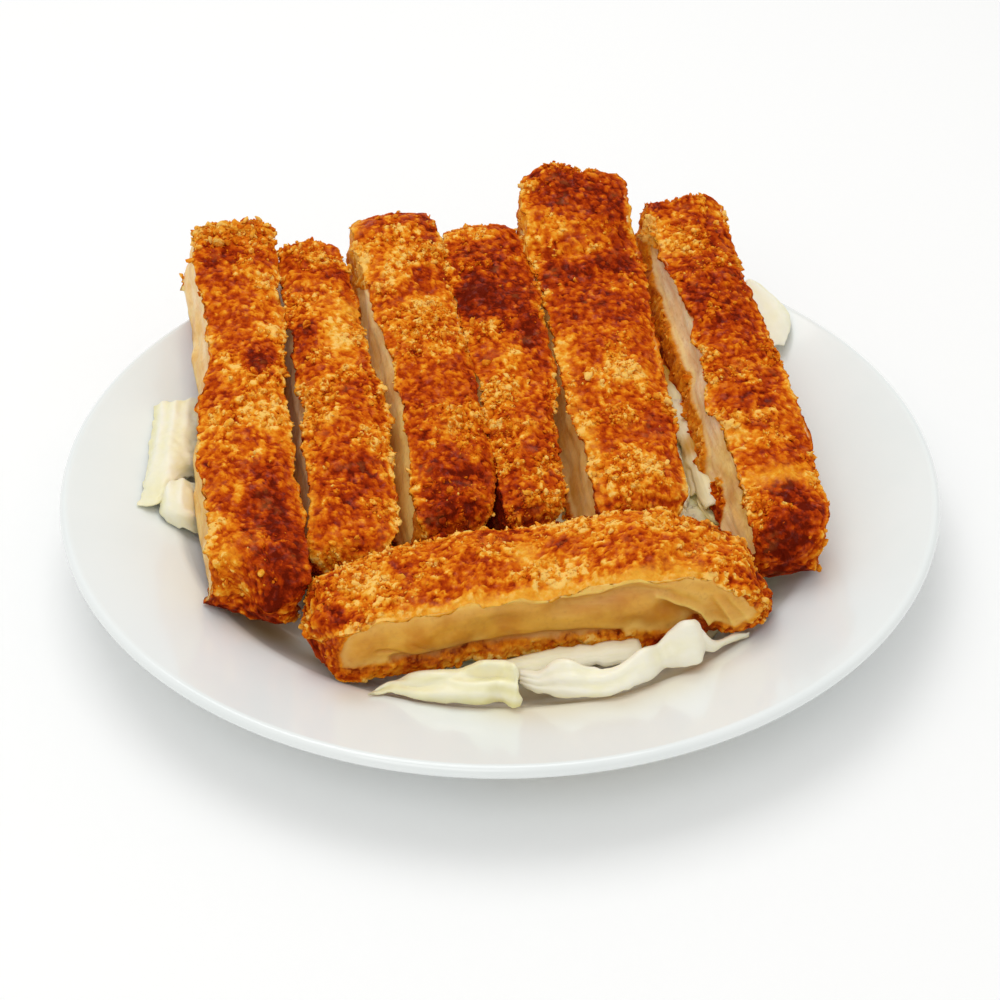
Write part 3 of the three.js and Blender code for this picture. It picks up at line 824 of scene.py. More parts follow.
@dataclass(frozen=True)
class Plate:
    """The round rimmed plate."""

    lip_radius: float = 114.97
    lip_top: float = 23.0
    lip_bead: float = 1.7
    well_edge_radius: float = 85.2
    well_edge_top: float = 14.0
    wall_foot: float = 73.0  # radius where the well's wall starts to rise
    wall_curve: float = 1.25
    rim_curve: float = 1.1
    floor_radius: float = 68.0
    floor_top: float = 6.5
    segments: int = 288
    floor_rings: tuple[float, ...] = (0.01, 15, 30, 45)  # radii
    fine_from: float = 58.0  # radius from which the rings of the upper face lie close together
    ring_step: float = 1.6
    under_step: float = 2.0
    bead_step: int = 15  # degrees
    thickness: tuple[Pair, ...] = (  # radius, and thickness there
        (68, 4.5), (80, 4.8), (88, 4.4), (102, 3.8), (110, 3.45),
    )
    foot: tuple[Pair, ...] = (  # radius and height, over the foot ring to the recess inside it
        (67.2, 2.15), (66, 2.35), (65.3, 1.9), (65, 0.9), (64.6, 0.25), (64, 0), (62, 0), (60, 0),
        (59.5, 0.3), (59.1, 1.2), (58.6, 1.8), (57.4, 2), (40, 2), (20, 2), (0.01, 2),
    )
    bare_radius: float = 58.5  # the foot is unglazed from here outwards, and below this height
    bare_top: float = 0.5
    juice_and_shadow_most: float = 0.85
    # Pools of frying juice that also paint shadow: partly under the front leaves, and mostly so for the last
    # three, in the well by the near ends of slices 1 and 7.
    juice: tuple[tuple[float, float, float, float], ...] = (  # x, y, size and strength of each pool
        (14, -84.5, 9, 0.38), (2, -85.5, 7, 0.3), (29, -83.5, 8, 0.3), (40, -77, 7, 0.3),
        (49, -69.5, 7, 0.32), (-35, -82, 5, 0.22), (-63, -45, 6, 0.45), (-57, -52, 7.5, 0.75),
        (-46, -61, 6, 0.4),
    )

    def top(self, radius: Number) -> Array:
        """Height of the upper face.

        Args:
            radius: Distance from the axis.

        Returns:
            The height there.
        """
        rim_end = self.lip_radius - self.lip_bead
        wall = np.clip((radius - self.wall_foot) / (self.well_edge_radius - self.wall_foot), 0.0, 1.0)
        well = lerp(self.floor_top, self.well_edge_top, wall**self.wall_curve)
        share = np.clip((radius - self.well_edge_radius) / (rim_end - self.well_edge_radius), 0.0, 1.0)
        rim = lerp(self.well_edge_top, self.lip_top, share**self.rim_curve)
        return np.where(radius <= self.well_edge_radius, well, rim)

    def under(self, radius: Array) -> Array:
        """Height of the lower face outside the foot.

        Args:
            radius: Distance from the axis.

        Returns:
            The height there.
        """
        share = smoothstep((radius - self.floor_radius) / (self.well_edge_radius - self.floor_radius))
        gentle = lerp(self.floor_top, self.well_edge_top, share)
        above = np.where(radius <= self.well_edge_radius, gentle, self.top(radius))
        return above - np.interp(radius, *np.array(self.thickness, float).T)

    def profile(self) -> Array:
        """The turned outline from the centre of the floor over the lip to the centre below."""
        rim_end = self.lip_radius - self.lip_bead
        fine = np.arange(self.fine_from, rim_end, self.ring_step)
        over = np.concatenate([self.floor_rings, fine, [rim_end]])
        upper = np.stack([over, self.top(over)], -1)
        turn = np.radians(np.arange(90 - self.bead_step, -91, -self.bead_step))
        ring = np.stack([np.cos(turn), np.sin(turn)], -1)
        bead = [rim_end, self.lip_top - self.lip_bead] + self.lip_bead * ring
        outside = np.arange(self.thickness[-1][0], self.thickness[0][0], -self.under_step)
        under = np.stack([outside, self.under(outside)], -1)
        return np.concatenate([upper, bead, under, self.foot])

    def build(self, glaze: Material) -> Piece:
        """Turns the outline into the plate.

        Args:
            glaze: The plate's finish.

        Returns:
            The plate.
        """
        profile = self.profile()
        turn = np.linspace(0, 2 * math.pi, self.segments, endpoint=False)
        ring = np.stack([np.cos(turn), np.sin(turn)], -1)
        points = np.empty((len(profile), self.segments, 3))
        points[..., :2] = profile[:, None, :1] * ring[None]
        points[..., 2] = profile[:, 1:]
        flat = points.reshape(-1, 3)
        ends = np.array([[0, 0, profile[0, 1]], [0, 0, profile[-1, 1]]])
        fans = end_fans(len(profile), self.segments)
        shell = Shell(np.concatenate([flat, ends]), tube_quads(len(profile), self.segments), fans)
        radius, height = np.hypot(*shell.points[:, :2].T), shell.points[:, 2]
        bare = smoothstep((self.bare_top - height) / 0.4) * smoothstep(radius - self.bare_radius)
        shell.values["bare_foot"] = bare
        # The juice pools, which also paint the shadow under the food.
        juice_and_shadow_pools = [strength * np.exp(-np.sum((shell.points[:, :2] - [x, y]) ** 2, 1) / size**2)
                 for x, y, size, strength in self.juice]
        juice_and_shadow = np.minimum(np.sum(juice_and_shadow_pools, 0), self.juice_and_shadow_most)
        shell.values["juice"] = np.where(height > self.foot[-1][1] + 1, juice_and_shadow, 0)
        piece = shell.faced_out().to_object("rimmed_plate", glaze)
        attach(piece, BODY)
        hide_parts("plate")
        return piece


PLATE = Plate()


def plate_height(points: Array) -> Array:
    """Height of the plate's upper face under some points."""
    return PLATE.top(np.hypot(points[..., 0], points[..., 1]))


# ---- slices ----


BED_HEIGHT, BED_SLOPE = 14.0, 0.145  # the cabbage's tilted top: its height at this y, and how it rises
BED_Y = -30.0
CUT_SIDE = 0.49  # a point farther across a slice than this lies on a cut side


def bed_top(y: Number) -> Number:
    """Height of the tilted top of the cabbage."""
    return BED_HEIGHT + BED_SLOPE * (y - BED_Y)


@dataclass(frozen=True)
class Patch:
    """A place on a slice's top that fried differently from the rest."""

    along: float  # share of the slice's length from its near or left end
    across: float  # from -0.5 at the left or far edge to 0.5
    length: float
    width: float
    brown: float = 0.0  # how much browner it is, or paler below 0
    crumbs: float = 0.0
    rise: float = 0.0
    batter: float = 0.0
    push: float = 0.0  # along the slice, to shape its ends
    pile: float = 0.0  # loose crumbs heaped up
    deep: float = 6.0  # how far down the sides it counts

    def weight(self, run: Array, across: Array, down: Array, width: Array) -> Array:
        """How much the patch counts at points of the slice.

        Args:
            run: Length of slice up to each point.
            across: Sideways place of each point, from -0.5 to 0.5.
            down: Depth of each point below the slice's top.
            width: Width of the slice there.

        Returns:
            Weights from 0 to 1.
        """
        along = (run - self.along * run.max()) / (self.length / 2)
        beside = (across - self.across) * width / (self.width / 2)
        return np.exp(-(along**2) - beside**2 - (down / self.deep) ** 2)


class Side(Enum):
    """The two cut sides of a slice, as its outline's sideways place has them."""

    LEFT = -1
    RIGHT = 1


LEFT, RIGHT = Side


@dataclass(frozen=True)
class Fold:
    """A line across a slice's cut side that stands out, sinks in or is coloured differently; on some folds
    the brown is painted shade in a gap or crease.
    """

    side: Side
    line: tuple[Pair, ...]  # share of the slice's length, and depth below its top
    width: float
    out: float = 0.0
    crust: float = 0.0  # how far the crust reaches over the meat here
    rosy: float = 0.0
    # browner; on the gap and crease folds this is painted shade
    brown: float = 0.0
    batter: float = 0.0

    def weight(self, run: Array, across: Array, down: Array) -> Array:
        """How much the fold counts at points of the slice.

        Args:
            run: Length of slice up to each point.
            across: Sideways place of each point, -0.5 or 0.5 on the cut sides.
            down: Depth of each point below the slice's top.

        Returns:
            Weights from 0 to 1.
        """
        joints = np.array(self.line, float) * [run.max(), 1.0]
        away = np.full(run.shape, np.inf)
        for start, end in zip(joints[:-1], joints[1:]):
            step, on, below = end - start, run - start[0], down - start[1]
            share = np.clip((on * step[0] + below * step[1]) / (step @ step), 0.0, 1.0)
            away = np.minimum(away, np.hypot(on - share * step[0], below - share * step[1]))
        return np.exp(-((away / self.width) ** 2)) * (across * self.side.value > CUT_SIDE)


def summed(parts: tuple[Patch | Fold, ...], effects: tuple[str, ...], *place: Array) -> Layers:
    """Sums what patches or folds do at every point.

    Args:
        parts: The patches or folds.
        effects: Names of the effects to sum.
        place: What the parts' weights follow, the length of slice up to each point first.

    Returns:
        One array for each effect.
    """
    total = {effect: np.zeros(place[0].shape) for effect in effects}
    for part in parts:
        weight = part.weight(*place)
        for effect in effects:
            total[effect] += getattr(part, effect) * weight
    return total


@dataclass(frozen=True)
class Section:
    """What is common to the cut outline of every slice."""

    crown: float = 1.6
    corner_drop: float = 0.9
    end_waist: float = 0.45
    lump_pitch: float = 7.0
    lump_top: float = 1.0
    lump_edge: float = 0.95
    lump_meat: float = 0.45
    sink: float = 0.5  # the batter lies this far below the solid's top, to leave room for crumbs
    top_step: float = 0.48
    under_step: float = 1.7
    ring_step: float = 0.53
    end_step: float = 3.0  # degrees
    side_margin: float = 0.9  # from the top and the bottom to the nearest point on a side
    wobble_pitches: Pair = (4.5, 1.9)  # how the crust's thickness varies along a cut
    under_inset: float = 0.6
    under_lift: float = 0.8  # how far the lower corners rise
    shoulder: float = 5.0  # the lumps of the top fade out this far down the sides
    dark_ends: float = 9.0  # length of the browner part under each end
    fibre_lengths: Pair = (9.0, 1.5)  # along the slice and down it
    swell_lengths: Pair = (8.0, 3.5)
    stain_pitch: float = 9.0


SECTION = Section()
FINE_GRAINS = GrainField(1.6, 301, 0.75)
COARSE_GRAINS = GrainField(3.0, 311, 0.6)


@dataclass(frozen=True)
class Route:
    """The centre line of a slice through its stations."""

    stations: tuple[tuple[float, ...], ...]  # x, y, width, thickness, lift, slant
    samples: int = 1200

    def at(self, t: Array) -> Array:
        """The station's numbers at shares of the list from 0 to 1."""
        return spline_at(np.array(self.stations, float), t)

    def runs(self) -> tuple[Array, Array]:
        """Shares of the list, and the length of centre line up to each."""
        t = np.linspace(0, 1, self.samples)
        steps = np.linalg.norm(np.diff(self.at(t)[:, :2], axis=0), axis=1)
        return t, np.concatenate([[0], np.cumsum(steps)])

    def heading(self, t: Array) -> Array:
        """Direction of the centre line in plan, in radians."""
        ahead, behind = (self.at(np.clip(t + step, 0, 1))[:, :2] for step in (0.01, -0.01))
        return np.arctan2(*(ahead - behind).T[::-1])


@dataclass(frozen=True)
class Slice:
    """One slice of the cutlet."""

    name: str
    seed: int
    route: Route
    on_bed: bool = True
    swell: tuple[tuple[float, float, float], ...] = ((0.0, 0.0, 0.0),)  # share, left edge, right edge
    rosy: float = 0.3
    browning: float = 0.5
    lip_gold: float = 0.16  # how much paler the crust fried along its cut edges
    crust_over: float = 1.7  # thickness of the crust above, below and at both ends of the meat
    crust_under: float = 2.3
    crust_ends: Pair = (2.2, 2.2)
    meat_inset: float = 0.9
    lean: float = 0.7  # how fibrous the meat is
    end_lengths: Pair = (11.0, 11.0)
    end_roundness: Pair = (0.6, 0.6)
    patches: tuple[Patch, ...] = ()
    folds: tuple[Fold, ...] = ()
    soft_cut: float = 0.7  # width over which crust turns into meat
    side_step: float = 0.7

    def rings(self) -> tuple[Array, Array, Array, Array]:
        """Shares of the rings, how full and how wide the section is at each and the run up to each."""
        t, run = self.route.runs()
        near_end, far_end = (length / run[-1] for length in self.end_lengths)
        turn = np.radians(np.append(np.arange(4.0, 90.0, SECTION.end_step), 90.0))
        first, last = np.interp([near_end, 1 - far_end], t, run)
        count = int((last - first) / SECTION.ring_step)
        middle = np.interp(np.linspace(first, last, count + 1)[1:-1], run, t)
        bow, rise = 1 - np.cos(turn), np.sin(turn)
        places = np.concatenate([near_end * bow, middle, 1 - far_end * bow[::-1]])
        ones = np.ones(len(middle))
        fullness = np.concatenate([rise, ones, rise[::-1]])
        near_shape, far_shape = self.end_roundness
        fullwidth = np.concatenate([rise**near_shape, ones, rise[::-1] ** far_shape])
        return places, fullness, fullwidth, np.interp(places, t, run)

    def outline(self) -> Layers:
        """The cut outline: sideways place, depth share and which face each point is on."""
        stations = np.array(self.route.stations)
        width, thick = stations[:, 2].max(), stations[:, 3].max()
        top = np.linspace(0.5, -0.5, int(width / SECTION.top_step))
        margin = SECTION.side_margin / thick
        side = lerp(margin, 1 - margin, np.linspace(0, 1, int(thick / self.side_step)))
        under = np.linspace(-0.5, 0.5, int(width / SECTION.under_step))
        sides = len(side), len(under), len(side)
        return {
            "across": np.concatenate([top, np.full(len(side), -0.5), under, np.full(len(side), 0.5)]),
            "depth": np.concatenate([np.zeros(len(top)), side, np.ones(len(under)), side[::-1]]),
            "top": np.repeat([1.0, 0.0, 0.0, 0.0], [len(top), *sides]),
            "side": np.repeat([0.0, 1.0, 0.0, 1.0], [len(top), *sides]),
        }

    def edge_swell(self, t: Array, across: Array) -> Array:
        """How far the edges stand out beyond the stations' width."""
        share, left, right = np.array(self.swell).T
        return np.where(across < 0, -np.interp(t, share, left)[:, None], np.interp(t, share, right)[:, None])

    def shell(self) -> Shell:
        """Lofts the slice and raises its crumbs, fibres and patches.

        Returns:
            The closed slice with its named values.
        """
        t, fullness, fullwidth, run = self.rings()
        line = self.outline()
        x, y, width, thick, lift, slant = self.route.at(t).T[..., None]
        heading = self.route.heading(t)[:, None]
        bottom = lift + (bed_top(y) if self.on_bed else 0.0)
        full = fullness[:, None]
        across, depth, top, side = (line[key][None] for key in ("across", "depth", "top", "side"))
        under = 1 - top - side
        zero = np.zeros((len(t), across.shape[1]))

        def stacked(first: Array, second: Array, third: Array) -> Array:
            """Coordinates for noise over the slice's surface."""
            return np.stack([first + zero, second + zero, third + zero], -1)

        # The lumps of the cutlet, shared with the solid.
        lump = stacked(x / SECTION.lump_pitch + 3 * across, y / SECTION.lump_pitch, 2 * depth)
        rough = noise(lump, self.seed) + 0.5 * noise(2.1 * lump, self.seed + 1)
        ragged = rough + 0.55 * noise(4.7 * lump, self.seed + 2)

        # How deep each point of a cut side lies inside the breaded outline.
        waist = thick * SECTION.end_waist
        reach_up = (1 - depth) * thick - waist
        run = run[:, None] + zero
        from_near, from_far = run - run.min(), run.max() - run
        fall = np.clip(np.abs(reach_up) / np.where(reach_up > 0, thick - waist, waist), 0, 0.999)
        lag = 1 - np.sqrt(1 - fall**2)
        down = depth * thick
        face = summed(self.folds, ("out", "crust", "rosy", "brown", "batter"), run, across + zero, down)
        long_pitch, short_pitch = SECTION.wobble_pitches
        wobble = noise(stacked(run / long_pitch, 3 * across, depth * 5), self.seed + 5)
        wobble += 0.3 * noise(stacked(run / short_pitch, 3 * across, depth * 9), self.seed + 6)
        inside = np.minimum.reduce([
            down * full - self.crust_over - 0.5 * wobble,
            (1 - depth) * thick * full - self.crust_under - 0.8 * wobble,
            from_near - self.end_lengths[0] * lag - self.crust_ends[0] - wobble,
            from_far - self.end_lengths[1] * lag - self.crust_ends[1] - wobble,
        ]) - face["crust"]
        on_cut = (1 - top) * (top + np.abs(across) >= CUT_SIDE)
        flesh = on_cut * smoothstep(inside / self.soft_cut + 0.5)
        batter = side * np.exp(-(((inside - 0.3) / (0.9 * self.soft_cut)) ** 2))
        batter = batter * np.clip(0.6 + 0.4 * wobble, 0, 1)

        # The section itself.
        inset = self.meat_inset * flesh * (1 + 0.4 * wobble) + under * SECTION.under_inset - face["out"]
        crown = SECTION.crown * (1 - (2 * across) ** 2) - SECTION.corner_drop * (2 * across) ** 6
        high = (1 - depth) * thick + top * crown + under * SECTION.under_lift * (2 * across) ** 6
        high = waist + (high - waist) * full
        wear = lerp(SECTION.lump_edge * ragged, SECTION.lump_meat * np.clip(0.5 + 0.5 * rough, 0, 1), flesh)
        reach = np.maximum(0.0, (width / 2 - inset - wear) * fullwidth[:, None])
        sideways = 2 * across * reach + self.edge_swell(t, across) * (1 - depth) * np.abs(2 * across)
        sideways = sideways - slant * (1 - high / thick)
        shoulder = top + side * smoothstep(1 - down / SECTION.shoulder)
        high = high + (SECTION.lump_top * rough - SECTION.sink) * full * shoulder
        points = np.stack([x + np.sin(heading) * sideways, y - np.cos(heading) * sideways, bottom + high], -1)

        effects = "brown", "crumbs", "rise", "batter", "push", "pile"
        patch = summed(self.patches, effects, run, across, down, width)
        patch["batter"] = patch["batter"] + face["batter"]
        points[..., 2] += patch["rise"] * shoulder * full
        points[..., 0] += np.cos(heading) * patch["push"]
        points[..., 1] += np.sin(heading) * patch["push"]
        values = self.crust_values(points, patch, top)
        to_end = np.minimum(from_near, from_far) / SECTION.dark_ends
        values["browning"] = values["browning"] + 0.35 * under * smoothstep(1.3 - to_end)
        long_fibre, deep_fibre = SECTION.fibre_lengths
        grain = stacked(run / long_fibre, 2 * across, high / deep_fibre)
        fibres = 0.3 * noise(grain, self.seed + 11) + 0.4 * noise(grain * [0.6, 1, 0.3], self.seed + 12)
        long_swell, deep_swell = SECTION.swell_lengths
        swells = noise(stacked(run / long_swell, 2 * across, down / deep_swell), self.seed + 14)
        meat = self.lean * fibres + 0.6 * swells - 0.4 * self.lean
        relief = (1 - flesh) * values["relief"] + flesh * meat
        relief = relief * np.minimum(1.0, full / 0.15)
        points = points + self.grid_normals(points) * relief[..., None]
        points[..., 2] = np.maximum(points[..., 2], plate_height(points) + GAP)
        lower = side * smoothstep((depth - 0.55) / 0.3)
        stain = np.clip(0.9 * noise(points / SECTION.stain_pitch, self.seed + 31) - 0.35, 0, 0.6)
        return closed_tube(points, {
            "browning": np.clip(lerp(values["browning"] + 0.22 * lower, stain, flesh) + face["brown"], 0, 1),
            "crumb": values["crumb"] * (1 - flesh),
            "tone": values["tone"],
            "batter": np.clip(batter + patch["batter"] * (1 - flesh) + face["batter"] * flesh, 0, 1),
            "rosy": self.rosy + face["rosy"],
            "lean": np.full_like(flesh, self.lean),
            "flesh": flesh,
            "cluster": values["cluster"] * (1 - flesh) * (1 - 0.8 * under),
            "pile": np.clip(patch["pile"], 0, 1) * (1 - flesh),
            "grain": grain,
        })

    def crust_values(self, points: Array, patch: Layers, top: Array) -> Layers:
        """Crumb relief and colouring of the crust, with painted shade in its hollows.

        Args:
            points: Grid of points before the relief.
            patch: Sums of the patches.
            top: 1 on the upper face.

        Returns:
            Relief in millimetres, and browning (darker in the hollows, as painted shade), crumb, tone and
            cluster from 0 to 1.
        """
        shape = points.shape[:2]
        flat = points.reshape(-1, 3)

        def cloud(pitch: float, step: int) -> Array:
            """Noise of one pitch over the grid."""
            return noise(flat / pitch, self.seed + step).reshape(shape)

        fine, fine_tone = (part.reshape(shape) for part in FINE_GRAINS.sample(flat))
        coarse, coarse_tone = (part.reshape(shape) for part in COARSE_GRAINS.sample(flat))
        wide = cloud(15, 21) + 0.6 * cloud(6.5, 22)
        edge = smoothstep((np.abs(self.outline()["across"]) - 0.38) / 0.12)[None] * top
        crowded = 0.42 + 0.75 * cloud(8, 23) + 0.4 * cloud(3.4, 24)
        cluster = smoothstep(crowded + patch["crumbs"] + 0.15 * edge)
        standing = coarse * cluster * (0.75 + 0.45 * cloud(1.2, 25))
        smooth = 1 - 0.8 * np.clip(patch["batter"], 0, 1)
        lumpy = cloud(2.3, 26) + 0.5 * cloud(1.1, 27)
        relief = smooth * (0.55 * (fine - 0.4) + 0.2 * lumpy + 1.05 * standing - 0.35) + 0.36 * wide
        # Browning deepens where a point lies below its neighbours' average: painted shade in the hollows
        # between grains.
        hollow_shade = relief - self.blurred(relief)
        browning = self.browning + 0.2 * wide + patch["brown"] - self.lip_gold * edge - 0.1 * (1 - top)
        return {
            "relief": relief,
            "browning": np.clip(browning - 0.5 * hollow_shade, 0, 0.8),
            "crumb": np.clip(0.35 * fine + 0.85 * standing, 0, 1),
            "tone": np.where(standing > 0.2, coarse_tone, fine_tone),
            "cluster": cluster,
        }

    @staticmethod
    def blurred(values: Array, reach: int = 3) -> Array:
        """Local average over a tube of rings.

        Args:
            values: One value for each point, shape (rows, columns).
            reach: How many points it takes in on each side.

        Returns:
            The averages.
        """
        for axis in (0, 1):
            values = np.mean([np.roll(values, step, axis) for step in range(-reach, reach + 1)], axis=0)
        return values

    @staticmethod
    def grid_normals(points: Array) -> Array:
        """Outward normals of a tube of rings."""
        around = np.roll(points, -1, axis=1) - np.roll(points, 1, axis=1)
        return unit(np.cross(np.gradient(points, axis=0), around))

    def build(self, shell: Shell, breaded: Material) -> Piece:
        """Makes the slice's object.

        Args:
            shell: The slice's own shell.
            breaded: Finish of the crust and the cut faces.

        Returns:
            The slice.
        """
        piece = shell.to_object(f"cutlet_{self.name}", breaded)
        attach(piece, BODY)
        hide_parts(self.name)
        return piece


